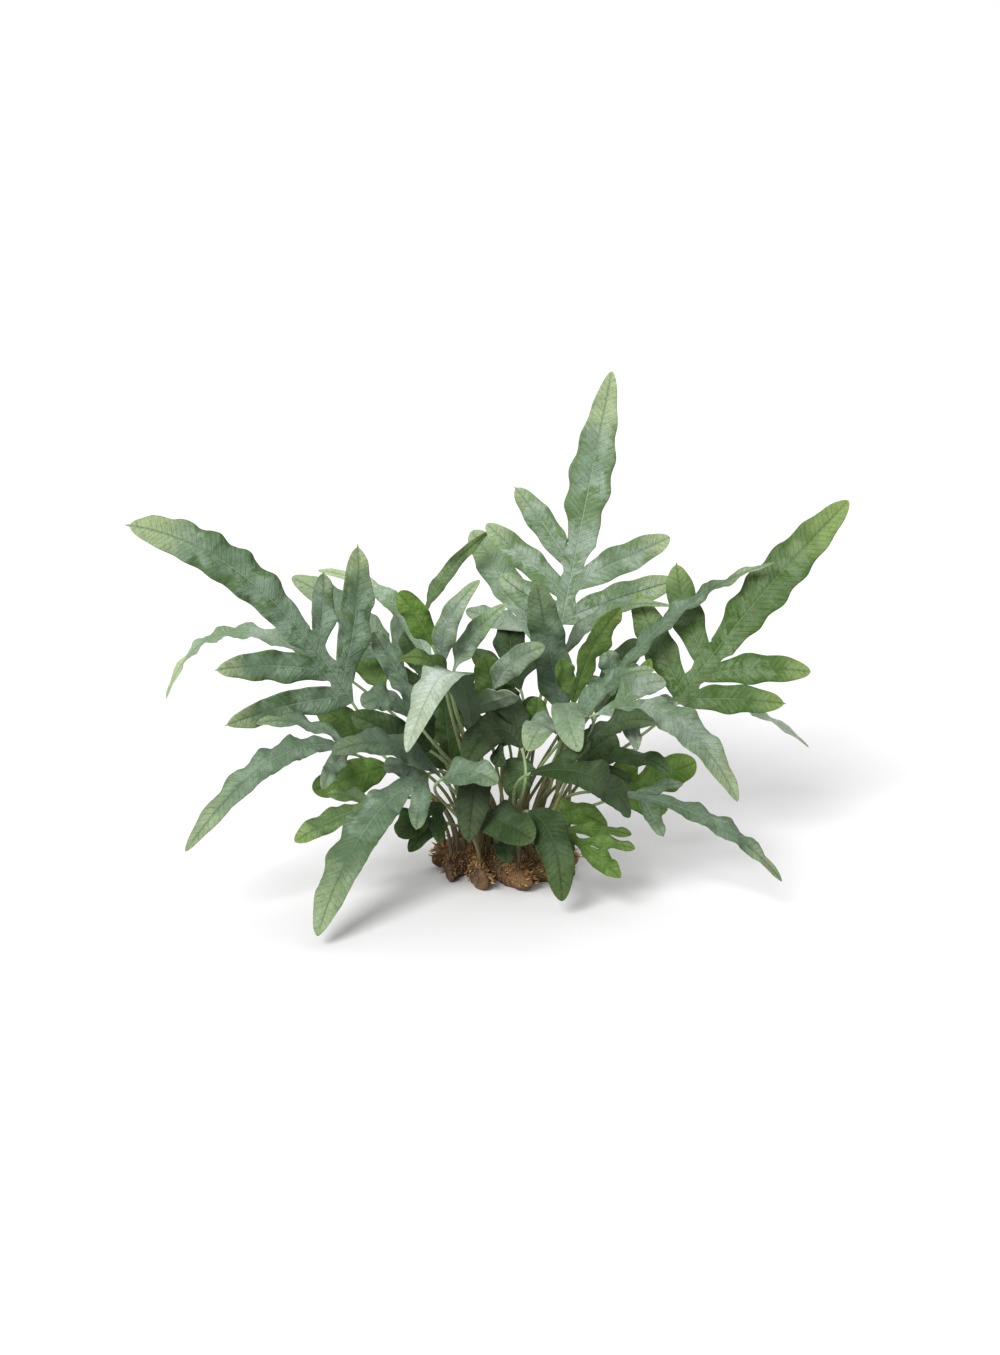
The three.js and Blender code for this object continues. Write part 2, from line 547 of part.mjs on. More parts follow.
// One creeping arm of the rhizome, lumpy and round ended, thinner towards its growing tip.
function armSolid(arm) {
  const corners = [];
  const faces = [];
  const lastRing = ARM_RINGS.length - 1;
  ARM_RINGS.forEach((distance, order) => {
    const angle = armAngle(arm, distance);
    const lump = 1 + 0.12 * (draw(arm * 11 + order * 5) - 0.4);
    const radius = ARM_RADIUS * lump * (order === lastRing ? 0.86 : 1);
    for (let side = 0; side < ARM_SIDES; side += 1) {
      const turn = (2 * Math.PI * (side + 0.5)) / ARM_SIDES;
      const out = radius * Math.cos(turn);
      corners.push(new THREE.Vector3(
        distance * Math.cos(angle) - out * Math.sin(angle),
        distance * Math.sin(angle) + out * Math.cos(angle),
        ARM_HEIGHT + (radius + 0.6) * Math.sin(turn),
      ));
    }
  });
  const tipDistance = ARM_RINGS[lastRing] + TIP_REACH + TIP_SPREAD * draw(arm + 3);
  const tipAngle = armAngle(arm, tipDistance) + radians(TIP_TURN * (draw(arm + 17) - 0.5));
  const innerEnd = corners.length;
  const innerAngle = armAngle(arm, ARM_RINGS[0]);
  corners.push(new THREE.Vector3(
    (ARM_RINGS[0] - TIP_REACH) * Math.cos(innerAngle),
    (ARM_RINGS[0] - TIP_REACH) * Math.sin(innerAngle),
    ARM_HEIGHT,
  ));
  corners.push(new THREE.Vector3(
    tipDistance * Math.cos(tipAngle),
    tipDistance * Math.sin(tipAngle),
    ARM_HEIGHT + 1,
  ));
  for (let side = 0; side < ARM_SIDES; side += 1) {
    const after = (side + 1) % ARM_SIDES;
    faces.push([innerEnd, after, side]);
    for (let order = 0; order < lastRing; order += 1) {
      const here = order * ARM_SIDES;
      const next = here + ARM_SIDES;
      faces.push([here + side, here + after, next + after], [here + side, next + after, next + side]);
    }
    faces.push([innerEnd + 1, lastRing * ARM_SIDES + side, lastRing * ARM_SIDES + after]);
  }
  return solidOf(closedGeometry(corners, faces));
}

// The rhizome: all arms grown together, flat below, with a plain socket for every stem.
function rhizomeGeometry() {
  const arms = [];
  for (let arm = 0; arm < ARM_COUNT; arm += 1) {
    arms.push(armSolid(arm));
  }
  const hole = new THREE.CylinderGeometry(SOCKET_RADIUS, SOCKET_RADIUS, SOCKET_CUT, 6).rotateX(Math.PI / 2);
  const sockets = FRONDS.map((plan) => {
    const foot = footPoint(plan.foot);
    return solidOf(hole).translate([foot.x, foot.y, foot.z - SOCKET_GAP + SOCKET_CUT / 2]);
  });
  const body = Manifold.union(arms).trimByPlane([0, 0, 1], 0).subtract(Manifold.union(sockets));
  const mesh = body.getMesh();
  const geometry = new THREE.BufferGeometry();
  geometry.setAttribute("position", new THREE.Float32BufferAttribute(Array.from(mesh.vertProperties), 3));
  geometry.setIndex(Array.from(mesh.triVerts));
  return geometry;
}

function named(name, geometry, colour, roughness) {
  const material = new THREE.MeshStandardMaterial({ color: colour, roughness, metalness: 0 });
  material.name = name;
  const mesh = new THREE.Mesh(geometry, material);
  mesh.name = name;
  return mesh;
}

const group = new THREE.Group();
group.name = "blue_star_fern";
group.add(named("rhizome", rhizomeGeometry(), RHIZOME_COLOUR, 0.9));
FRONDS.forEach((plan, index) => {
  group.add(named(`frond_${plan.name}`, frondGeometry(plan, index), TONES[plan.tone], 0.6));
});

export default group;
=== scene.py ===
"""Blue star fern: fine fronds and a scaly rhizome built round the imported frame.

Sizes are millimetres and degrees, as in the part's own drawing, and become metres when a mesh is made.
"""

import math

import bpy
import numpy as np
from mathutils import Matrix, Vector, noise


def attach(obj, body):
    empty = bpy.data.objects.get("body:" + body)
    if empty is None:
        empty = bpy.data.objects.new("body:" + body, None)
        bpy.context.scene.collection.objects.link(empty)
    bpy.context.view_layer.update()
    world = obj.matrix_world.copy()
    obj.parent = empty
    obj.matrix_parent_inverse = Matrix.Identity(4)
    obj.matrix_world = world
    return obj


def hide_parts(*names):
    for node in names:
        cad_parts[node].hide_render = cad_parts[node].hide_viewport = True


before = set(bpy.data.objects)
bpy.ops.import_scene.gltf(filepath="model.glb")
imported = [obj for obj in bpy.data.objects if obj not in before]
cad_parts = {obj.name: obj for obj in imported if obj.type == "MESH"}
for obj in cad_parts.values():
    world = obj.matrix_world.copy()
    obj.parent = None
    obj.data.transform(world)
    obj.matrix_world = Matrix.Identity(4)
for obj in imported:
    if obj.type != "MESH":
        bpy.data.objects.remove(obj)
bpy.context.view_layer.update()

MM = 0.001

# Camera: where it looks, from how far and how high, and its field of view.
IMAGE_HEIGHT_PX = 1355
FOCAL_LENGTH_PX = 2510
SENSOR_SIZE = 36
CAMERA_TARGET = (-4, 0, 152)
CAMERA_DISTANCE = 1900
CAMERA_ELEVATION = 15

# Studio: the floor's side in metres, the light from all round, and the white that the camera sees.
FLOOR_SIDE_M = 400
FLOOR_COLOUR = "#c6c6c6"
WORLD_STRENGTH = 0.82
BACKDROP_STRENGTH = 1.0

# Rhizome: arms that creep from the middle in a slight spiral, each with a lump at every ring.
ARM_COUNT = 10
ARM_RADIUS = 8.4
ARM_HEIGHT = 6.9
ARM_RINGS = [-4, 7, 14, 21, 28, 35, 42, 49]
ARM_SPIRAL = 6
ARM_SIDES = 20
ARM_STEP = 2.0
ARM_SWELLING = 0.06
ARM_CROWN = 0.6
RING_LUMP = 0.12
LAST_RING = 0.86
TIP_REACH = 6
TIP_SPREAD = 10
TIP_TURN = 26
TIP_SHARES = (0.2, 0.4, 0.6, 0.78, 0.9, 0.97)
FIRST_FOOT = 10
FOOT_SPACING = 7.5
FOOT_HEIGHT = 11
SOCKET_DEPTH = 4

RHIZOME_VOXEL = 0.8
ROUGHNESS = 1.2
SKIN_LUMPS = ((90, 0.7), (260, 0.3))
SCALES_PER_ARM = 230
SCALES_PER_FOOT = 12
SCALE_SEED = 7
SCALE_WIDTH = 0.26
LOWEST_SCALE = 0.15

# Stems.
STEM_TOP_RADIUS = 1.1
STEM_FOOT_RADIUS = 1.5
STEM_RISE = 0.38
STEM_JOINING = 0.3
STEM_SIDES = 14
STEM_STEP = 3.0

# Blades: the sheet and its edge, the web along the midrib, the lobes, their margins, ribs and points.
BLADE_THICKNESS = 0.5
MARGIN_THICKNESS = 0.24
COLLAR_HALF = 1.3
MIDRIB_FOLD = 0.18
WEB_SHARE = 0.24
WEB_WIDENING = 0.45
WEB_LIMIT = 0.42
NOTCH_DEPTH = 1.6
NOTCH_SHARE = 0.3
LOBE_BASE_SHARE = 0.25
LOBE_GAP = 3.5
LOBE_WIDTH_SHARE = 0.34
LOBE_TAPER = 0.15
LOBE_NECK = 0.78
NECK_END = 0.45
TAPER_START = 0.3
LOBE_SAG = 0.1
LOBE_JOINING = 0.25
END_JOINING = 0.22
RIM_JOINING = 0.15
END_INSET = 0.9
LOBE_WAVE_LENGTH = 14
END_WAVE_LENGTH = 15
WAVE_RISE = 1.5
LOWEST_CREST = 0.72
CREST_SPREAD = 0.5
MARGIN_SCALLOP = 0.09
UNEVENNESS = 0.25
RIPPLES = ((1.9, 0.16), (1.13, 0.1))
ROUND_END_AT = 0.94
MESH_STEP = 1.15
FINE_MESH_AT = 0.9
RIB_COLUMNS = [0.0, 0.45, 1.0]
NARROW_HALF = 2.2
SIDE_COLUMNS = 9
RIB_HEIGHT = 0.55
RIB_HALF = 0.85
BRANCH_RIB = 0.6
RIB_FADING = 0.85
GROOVE_DEPTH = 0.16
TAIL_SHARE = 0.03
TAIL_WIDTH = 0.11
TAILED_LOBES = 0.45
TAILED_ENDS = ("left_high",)


def left(at, length, lean, curl=14, width=100):
    return {"side": -1, "at": at, "length": length, "lean": lean, "curl": curl, "width": width}


def right(*sizes):
    return {**left(*sizes), "side": 1}


def frond(name, foot, collar, crest, tip, face, width, tone, lobes=(), bow=(0, 0), twist=0, wave=2.8,
          taper=0.15, shade=1):
    return {"name": name, "foot": foot, "collar": collar, "crest": crest, "tip": tip, "face": face,
            "width": width, "tone": tone, "lobes": lobes, "bow": bow, "twist": twist, "wave": wave,
            "taper": taper, "shade": shade}


# Every frond: its foot as arm and place, where the blade begins, crests and ends, the way its upper side
# looks, width, tone, lobes, stem bow, twist, wave and taper. Its shade is how much lighter (above 1) or
# darker (below 1) than its tone it is, partly the leaf's own tone and partly painted light and shade for
# how brightly it is lit where it sits.
FRONDS = [
    frond("left_high", [4, 5], [-115, -20, 138], [-191, -40, 239], [-281, -25, 275], [-80, 25], 31, "blue",
        [left(2, 87, 64, -8), right(8, 88, 57, 6, 112), left(13, 79, 47, -2, 110),
        right(20, 46, 54, 4, 84)], wave=3, taper=0.05),
    frond("top", [2, 1], [43, 30, 186], [62, 55, 278], [81, 60, 377], [-92, 10], 34, "light",
        [left(2, 50, 74, 16, 95), right(3, 84, 56, -7), left(14, 74, 60, 1, 94), right(19, 76, 51, -4, 104),
        left(27, 66, 42, -10, 92)], wave=2.2, taper=0.42),
    frond("right_high", [0, 5], [130, -5, 134], [191, 10, 211], [262, 45, 280], [-96, 20], 34, "green",
        [right(3, 72, 50, -8), left(6, 78, 64, 4, 112), right(17, 76, 42, -14, 102),
        left(21, 72, 63, 18, 108)], wave=1.6, taper=0.25),
    frond("left_ribbon", [3, 5], [-121, 60, 134], [-216, 90, 165], [-273, 110, 104], [-90, 68], 19, "light",
        wave=2.4, taper=0.3, shade=1.3),
    frond("right_droop", [8, 5], [67, -100, 152], [122, -105, 148], [166, -130, 94], [-70, 50], 30, "light",
        [left(16, 36, 50), right(14, 36, 60)], bow=[8, 14], taper=0.4, shade=0.85),
    frond("pale_fold", [6, 0], [-24, -42, 117], [-41, -88, 180], [-71, -122, 128], [-100, 82], 34, "pale",
        [left(14, 42, 66, 12, 80)], wave=1.5, taper=0.3),
    frond("twist_ribbon", [3, 3], [-63, 64, 184], [-44, 80, 217], [-9, 110, 245], [-90, 20], 12, "green",
        twist=110, wave=2, taper=0.3),
    frond("back_left_high", [2, 3], [31, 60, 154], [4, 100, 197], [-27, 140, 237], [-100, 30], 28, "light",
        [left(25, 50, 46, 14, 90), right(30, 40, 50, 14, 85)]),
    frond("right_ribbon", [0, 2], [80, -25, 155], [135, -5, 209], [203, 5, 240], [-90, 74], 17, "blue",
        bow=[5, 15], wave=3, taper=0.4, shade=0.95),
    frond("right_low_trail", [9, 2], [70, -60, 80], [144, -105, 75], [201, -115, 29], [-80, 55], 17, "blue",
        [left(18, 30, 50, 14, 110), right(22, 36, 50, 14, 110)], bow=[0, 5], wave=2.6, taper=0.4,
        shade=0.9),
    frond("front_left_trail", [6, 3], [-57, -76, 99], [-101, -120, 71], [-133, -175, 9], [-110, 35], 31,
        "blue", [right(6, 24, 60), left(8, 50, 34, 12, 80)]),
    frond("left_low_trail", [5, 4], [-111, -50, 106], [-165, -100, 119], [-229, -140, 60], [-100, 45], 22,
        "blue", [right(10, 68, 36), left(10, 62, 36, 8)], bow=[5, 5]),
    frond("left_green", [4, 4], [-97, 20, 87], [-122, 35, 105], [-152, 50, 118], [-90, -10], 28, "lime",
        bow=[0, 5], shade=0.75),
    frond("front_left_strap", [6, 4], [-48, -90, 102], [-84, -110, 132], [-125, -120, 128], [-90, 55], 25,
        "deep", shade=0.8),
    frond("left_underleaf", [5, 3], [-85, -45, 96], [-115, -60, 91], [-144, -55, 80], [-90, 10], 26,
        "lime"),
    frond("left_low", [5, 5], [-84, -65, 76], [-118, -85, 71], [-154, -105, 56], [-90, 50], 19, "green",
        [right(25, 30, 46), left(35, 30, 46)], bow=[0, 10], wave=2, shade=1.2),
    frond("low_left_dark", [6, 2], [-44, -48, 66], [-62, -58, 62], [-80, -66, 46], [-95, 40], 24, "dark",
        [left(25, 26, 58, 14, 85)], shade=1.4),
    frond("front_hang_left", [7, 1], [-19, -85, 111], [-23, -95, 91], [-27, -110, 57], [-90, 20], 26,
        "dark", bow=[-15, 10], shade=0.6),
    frond("front_light", [6, 5], [-46, -105, 104], [-25, -120, 114], [-5, -130, 108], [-90, 50], 24,
        "blue"),
    frond("front_dark_point", [9, 0], [22, -60, 97], [10, -62, 94], [9, -64, 74], [-90, 40], 26, "dark",
        bow=[5, 0], shade=1.4),
    frond("front_low_broad", [7, 2], [-16, -80, 71], [3, -105, 69], [21, -120, 62], [-100, 40], 30, "dark",
        bow=[-5, 0]),
    frond("front_hang_right", [7, 4], [17, -85, 73], [34, -110, 60], [41, -115, 13], [-90, 20], 27, "dark",
        bow=[5, 0]),
    frond("right_low_dark", [9, 1], [41, -65, 54], [63, -95, 45], [84, -115, 32], [-90, 40], 17, "lime",
        [left(12, 45, 45), right(20, 20, 50), left(36, 38, 40)], bow=[-10, -5], taper=0.4),
    frond("right_yellow", [0, 0], [30, -42, 55], [53, -48, 60], [77, -50, 49], [-90, 40], 20, "lime",
        bow=[10, 5]),
    frond("right_dark_broad", [7, 5], [18, -110, 110], [60, -135, 116], [91, -105, 76], [-95, 45], 27,
        "dark", [left(22, 30, 50)], bow=[0, -5]),
    frond("right_green_low", [0, 3], [79, 0, 55], [115, 0, 72], [147, 5, 84], [-90, 5], 28, "lime",
        [left(15, 30, 50), right(20, 30, 50)], wave=2.2, shade=1.35),
    frond("right_small_droop", [0, 1], [67, -50, 99], [100, -55, 105], [123, -65, 94], [-90, 65], 18,
        "dark", bow=[5, 0], shade=1.6),
    frond("centre_pale_hang", [8, 3], [40, -76, 133], [27, -100, 143], [16, -125, 130], [-95, 50], 25,
        "light", bow=[-8, -3]),
    frond("centre_fold", [9, 3], [59, -85, 148], [45, -110, 153], [53, -130, 131], [-90, 45], 25, "light",
        bow=[-5, 0]),
    frond("lime_twist", [1, 1], [51, -25, 138], [64, -30, 181], [86, -25, 213], [-60, -15], 24, "lime",
        [left(15, 26, 50)], bow=[-5, 0]),
    frond("lime_strap", [1, 2], [42, 20, 159], [76, 15, 199], [127, 5, 206], [-100, 50], 14, "light",
        wave=2, taper=0.5, shade=0.85),
    frond("centre_column", [1, 0], [44, -15, 121], [32, -25, 184], [23, -30, 233], [-90, 10], 28, "deep"),
    frond("centre_pale", [7, 3], [-9, -42, 154], [7, -50, 178], [30, -58, 191], [-90, 15], 19, "light",
        bow=[5, 0], shade=0.85),
    frond("left_blade_a", [4, 0], [-38, -18, 164], [-21, -22, 194], [2, -40, 219], [-90, 20], 17, "light",
        bow=[5, 5], wave=2.2, taper=0.4, shade=1.3),
    frond("left_blade_b", [5, 1], [-46, -20, 167], [-41, -40, 207], [-18, -35, 236], [-90, 25], 18, "light",
        bow=[-5, -10], wave=2.2, taper=0.4),
    frond("centre_back_leaf", [3, 0], [-2, -27, 115], [-3, -29, 134], [-7, -33, 157], [-90, 5], 34, "dark",
        [left(14, 26, 66, 10, 75), right(22, 26, 66, 10, 75)]),
    frond("left_strap_high", [3, 2], [-56, 30, 148], [-89, 60, 198], [-148, 90, 215], [-90, 50], 16,
        "light", wave=2.4, taper=0.3, shade=1.3),
    frond("left_back", [3, 4], [-78, 65, 133], [-114, 100, 171], [-172, 130, 201], [-90, 30], 25, "light",
        [right(20, 36, 44, 14, 90), left(25, 40, 46, 14, 90)], bow=[0, 5], shade=0.9),
    frond("left_small_curl", [4, 3], [-74, -5, 142], [-88, -5, 169], [-100, -5, 189], [-60, 20], 20,
        "blue"),
    frond("left_lime_small", [4, 2], [-55, -10, 180], [-68, -20, 208], [-80, -20, 223], [-90, 0], 20,
        "lime", bow=[0, -5], shade=1.2),
    frond("left_lime_strap", [5, 0], [-33, -20, 146], [-54, -48, 177], [-80, -40, 176], [-90, 50], 15,
        "lime", bow=[0, -15], shade=0.65),
    frond("left_pale_short", [6, 1], [-64, -70, 136], [-84, -80, 157], [-105, -85, 153], [-90, 45], 22,
        "deep", [right(20, 24, 50)]),
    frond("centre_dark", [3, 1], [-41, 16, 72], [-45, 14, 111], [-47, 12, 148], [-90, 0], 34, "dark",
        [left(16, 30, 62, 14, 90), right(20, 34, 64, 14, 85)], shade=1.6),
    frond("centre_green", [2, 0], [2, -12, 107], [-6, -14, 138], [-16, -18, 176], [-90, 0], 30, "lime",
        [right(18, 28, 58, 14, 85)], shade=0.6),
    frond("centre_oval", [8, 1], [23, -52, 128], [23, -51, 139], [23, -54, 153], [-90, 10], 18, "lime",
        bow=[-5, 15], shade=0.8),
    frond("centre_back_dark", [2, 2], [12, 50, 129], [5, 75, 150], [4, 90, 176], [-90, -5], 26, "dark",
        [right(20, 34, 50), left(25, 34, 50)]),
    frond("left_back_dark", [2, 4], [-59, 50, 120], [-67, 65, 149], [-81, 85, 166], [-90, 5], 24, "dark",
        [left(20, 30, 50)], shade=1.5),
    frond("left_small_pale", [2, 5], [-94, 80, 120], [-111, 110, 132], [-129, 130, 140], [-90, 30], 20,
        "lime", shade=1.2),
    frond("right_strap", [8, 2], [49, -52, 127], [75, -48, 160], [110, -62, 174], [-90, 45], 16, "blue",
        bow=[-11, 2], wave=2.4, taper=0.3),
    frond("right_small_rosette", [0, 4], [84, 10, 132], [81, 5, 155], [76, 10, 171], [-90, 15], 18, "blue",
        [left(20, 22, 60), right(25, 20, 60)], shade=1.25),
    frond("right_small_leaf", [9, 4], [74, -40, 141], [93, -38, 152], [109, -20, 173], [-90, 30], 15,
        "lime", bow=[0, 20]),
    frond("right_back_ribbon", [1, 4], [98, 60, 108], [176, 95, 106], [247, 115, 62], [-90, 60], 14, "pale",
        wave=2.4, taper=0.4, shade=1.3),
    frond("right_dark_strap", [8, 4], [56, -85, 125], [81, -125, 153], [107, -120, 151], [-90, 45], 18,
        "dark", bow=[5, -30]),
    frond("right_back_dark", [1, 3], [71, 50, 107], [85, 90, 126], [109, 130, 149], [-80, 10], 26, "dark",
        [right(20, 34, 50)], shade=1.5),
    frond("low_left_small", [5, 2], [-45, -40, 50], [-56, -50, 49], [-73, -60, 32], [-100, 50], 18, "dark",
        shade=1.5),
    frond("low_centre_small", [7, 0], [-2, -60, 43], [0, -65, 37], [1, -70, 27], [-90, 10], 17, "dark",
        bow=[0, 5], shade=0.8),
    frond("left_dark_mid", [4, 1], [-57, -22, 101], [-79, -34, 116], [-116, -35, 134], [-90, 0], 26, "dark",
        [right(18, 30, 50)], bow=[0, -5]),
    frond("centre_arch", [8, 0], [12, -70, 117], [-8, -65, 130], [-30, -95, 111], [-90, 35], 26, "dark",
        [left(18, 30, 55, 14, 90), right(20, 28, 55, 14, 90)], bow=[-5, -30], wave=2.2, shade=0.65),
    frond("right_inner_dark", [9, 5], [54, -30, 90], [66, -32, 104], [82, -36, 121], [-90, 20], 33, "dark",
        [left(14, 28, 66, 10, 75), right(22, 34, 64, 10, 75)], bow=[5, 5]),
]

# Each tone's colours as they look in the studio: the sheet, its pale bloom, green patches, tips, the darks
# along the veins, the underside and the light that shines through. The dark tone, for the fronds deep
# inside the plant, and the deep tone, for undersides in shadow, are partly the leaves' own green and
# partly painted shade.
COLOUR_PARTS = ("sheet", "bloom", "patch", "tip", "dark", "under", "glow")
TONES = {
    "light": ("#869d80", "#a6b8a4", "#67854d", "#bacc94", "#586f54", "#6e9254", "#8cb450"),
    "blue": ("#698266", "#8aa088", "#4f6d39", "#aec08c", "#445c42", "#5e8240", "#78a03c"),
    "green": ("#607a48", "#7a9266", "#466a22", "#98b264", "#385226", "#52702e", "#78a432"),
    "lime": ("#587a2c", "#74944a", "#486e16", "#8ea854", "#345018", "#52781e", "#78a828"),
    # Deep and dark: partly painted shade, for undersides in shadow and the fronds deep inside the plant.
    "deep": ("#586f56", "#728872", "#4a663a", "#869c6c", "#384c34", "#4a6a2a", "#6c9430"),
    "dark": ("#344c20", "#4e6440", "#2c4812", "#668244", "#1a2a12", "#365616", "#5a8c20"),
    "pale": ("#a8b8a4", "#d0dad0", "#8ea480", "#bccaa8", "#80947a", "#56704c", "#96b464"),
}
STUDIO_GAIN = 1.62
TALL_FRONDS = 3
VEIN_SPACING = 4.6
VEIN_LEAN = 0.75

UPPER, UNDER, STEM = range(3)
SIDES = (-1, 1)
MARKS = 6
FAR = 99.0


def ease(x):
    """Eases from 0 to 1 as x goes from 0 to 1."""
    held = np.clip(x, 0.0, 1.0)
    return held * held * (3.0 - 2.0 * held)


def draw(seed):
    """A repeatable draw between 0 and 1."""
    spread = math.sin(seed * 12.9898) * 43758.5453
    return spread - math.floor(spread)


def unit(vectors):
    return vectors / np.linalg.norm(vectors, axis=-1, keepdims=True)


def bezier(controls, t):
    """Points of a quadratic or cubic Bezier curve at the shares t."""
    t = np.asarray(t, float)[:, None]
    degree = len(controls) - 1
    return sum(math.comb(degree, k) * (1 - t) ** (degree - k) * t ** k * np.asarray(control, float)
               for k, control in enumerate(controls))


class Rachis:
    """The curve of a blade's midrib and the directions along, across and off the sheet."""

    def __init__(self, plan):
        self.start = np.array(plan["collar"], float)
        self.end = np.array(plan["tip"], float)
        self.pull = 2 * np.array(plan["crest"], float) - 0.5 * self.start - 0.5 * self.end
        self.controls = [self.start, self.pull, self.end]
        chords = bezier(self.controls, np.linspace(0, 1, 33))
        self.length = np.linalg.norm(np.diff(chords, axis=0), axis=1).sum()
        azimuth, elevation = (math.radians(angle) for angle in plan["face"])
        self.face = np.array([math.cos(azimuth) * math.cos(elevation),
                              math.sin(azimuth) * math.cos(elevation), math.sin(elevation)])
        self.twist = math.radians(plan["twist"])

    def directions(self, t):
        t = np.asarray(t, float)[:, None]
        along = unit((1 - t) * (self.pull - self.start) + t * (self.end - self.pull))
        off = unit(self.face - (along @ self.face)[:, None] * along)
        across = np.cross(along, off)
        turn = self.twist * (t - 0.5)
        return along, off * np.cos(turn) + across * np.sin(turn), across * np.cos(turn) - off * np.sin(turn)

    def bend(self, flat):
        """Flat points (x along, y across, h off) laid on the curve."""
        t = flat[:, 0] / self.length
        held = np.clip(t, 0, 1)
        along, off, across = self.directions(held)
        points = bezier(self.controls, held) + ((t - held) * self.length)[:, None] * along
        return points + flat[:, 1:2] * across + flat[:, 2:3] * off


def arm_angle(arm, distance):
    return math.radians(360 / ARM_COUNT * arm + ARM_SPIRAL * (distance - FIRST_FOOT) / FOOT_SPACING)


def foot_point(foot):
    """Lower end of a stem."""
    distance = FIRST_FOOT + FOOT_SPACING * foot[1]
    angle = arm_angle(foot[0], distance)
    return np.array([distance * math.cos(angle), distance * math.sin(angle), FOOT_HEIGHT])


def lance_shape(u, taper):
    """Half width of a lobe along its length, as a share of its widest half width."""
    round_end = (1 - np.clip(u, 0, 1) ** 7) ** 0.65
    narrowing = 1 - taper * ease((u - TAPER_START) / (1 - TAPER_START))
    return round_end * (LOBE_NECK + (1 - LOBE_NECK) * ease(u / NECK_END)) * narrowing


def lobe_outline(u, tail, taper):
    """The lance shape, ending in a short drawn-out point of its own where tail is 1."""
    body = lance_shape(u / (1 - TAIL_SHARE * tail), taper)
    point = tail * TAIL_WIDTH * np.clip((1 - u) / (2.2 * TAIL_SHARE), 0, 1) ** 0.8
    return np.maximum(body, point)


def scalloped(half, u, even):
    """A half width with its margin's even crests and hollows."""
    return half * (1 + MARGIN_SCALLOP * even * (1 - u ** 3))


def uneven(half, u, even, ripple):
    """A half width with its margin's unevenness, closed at the tip."""
    return np.where(u < 1, half * (1 + UNEVENNESS * MARGIN_SCALLOP * (ripple - even)), 0)


def fold_height(y, web_half):
    """How far the sheet rises at a distance y from its midvein."""
    return MIDRIB_FOLD * web_half * np.tanh(np.abs(y) / web_half)


def rib(distance, share):
    """Height of a vein's ridge at a distance from its middle. The midrib's own height is 1."""
    return share * np.exp(-(distance / RIB_HALF) ** 2)


def margin_wave(u, waves, length, seed):
    """Even crests and hollows along a margin, and uneven ones with small ripples, about -1 to 1."""
    sign = 1 if draw(seed) > 0.5 else -1
    crests = np.interp(u * waves / ROUND_END_AT, np.arange(waves + 3),
                       [LOWEST_CREST + CREST_SPREAD * draw(seed * 3 + k) for k in range(waves + 3)])
    main = sign * np.cos(math.pi * waves * u / ROUND_END_AT)
    small = sum(height * np.sin(length * u / spacing + 6 * draw(seed + order))
                for order, (spacing, height) in enumerate(RIPPLES, 1))
    return main, main * crests + small


def spaced(breaks, step):
    """The breaks with even points between them, no further apart than step."""
    places = [breaks[0]]
    for a, b in zip(breaks, breaks[1:]):
        count = max(1, math.ceil((b - a) / step))
        places.extend(a + (b - a) * k / count for k in range(1, count + 1))
    return np.array(places)


def tip_stations(length):
    """Shares along a lobe, from 0 to 1, with stations where its end and its point begin."""
    return spaced([0, FINE_MESH_AT, 1 - TAIL_SHARE, 1], MESH_STEP / length)


def marks_of(along, across, branch, rim, share, seed):
    """Marks of a grid: millimetres along and across the vein, to a branch vein, and shares of rim and tip."""
    parts = np.broadcast_arrays(along, across, branch, rim, share, seed)
    return np.stack([np.asarray(part, float) for part in parts], axis=-1)


class Surface:
    """Points, four-sided and three-sided faces, a mark for each face corner and a kind for each face."""

    def __init__(self):
        self.points = []
        self.sides = {n: [np.zeros((0, n), int)] for n in (4, 3)}
        self.marks = {n: [np.zeros((0, n, MARKS))] for n in (4, 3)}
        self.kinds = {n: [np.zeros(0, int)] for n in (4, 3)}

    def add(self, points):
        """Adds a grid of points and returns the grid of their numbers."""
        start = sum(len(part) for part in self.points)
        self.points.append(points.reshape(-1, points.shape[-1]))
        return np.arange(start, start + math.prod(points.shape[:-1])).reshape(points.shape[:-1])

    def face(self, corners, marks, kind):
        """Adds faces: rows of three or four point numbers, with a mark for each."""
        corners = np.asarray(corners)
        sides = corners.shape[1]
        self.sides[sides].append(corners)
        self.marks[sides].append(np.broadcast_to(marks, (*corners.shape, MARKS)))
        self.kinds[sides].append(np.full(len(corners), kind))

    def patch(self, index, marks, flipped):
        """Upper faces over a grid of point numbers. A last row of one single point becomes triangles."""
        def cells(grid):
            around = [grid[:-1, :-1], grid[1:, :-1], grid[1:, 1:], grid[:-1, 1:]]
            return np.stack(around if flipped else [around[k] for k in (0, 3, 2, 1)], axis=2)
        corners = cells(index)
        corner_marks = cells(marks)
        closed = index[-1, 0] == index[-1, -1]
        square = len(corners) - 1 if closed else len(corners)
        self.face(corners[:square].reshape(-1, 4), corner_marks[:square].reshape(-1, 4, MARKS), UPPER)
        if closed:
            kept = [0, 1, 3] if flipped else [0, 1, 2]
            self.face(corners[-1][:, kept], corner_marks[-1][:, kept], UPPER)

    def whole(self):
        """All points, then the faces, their marks and their kinds by number of sides."""
        groups = (self.sides, self.marks, self.kinds)
        joined = [{n: np.concatenate(group[n]) for n in (4, 3)} for group in groups]
        return np.concatenate(self.points), *joined


def side_columns(rim, squeeze=1.0):
    """Places across half a blade from the midrib to the rim: close on the rib, then even."""
    rim = np.asarray(rim, float)[..., None]
    even = np.arange(1, SIDE_COLUMNS + 1) / SIDE_COLUMNS
    inner = np.array(RIB_COLUMNS) * (squeeze * np.ones_like(rim))
    return np.concatenate([inner, inner[..., -1:] + (rim - inner[..., -1:]) * even], axis=-1)


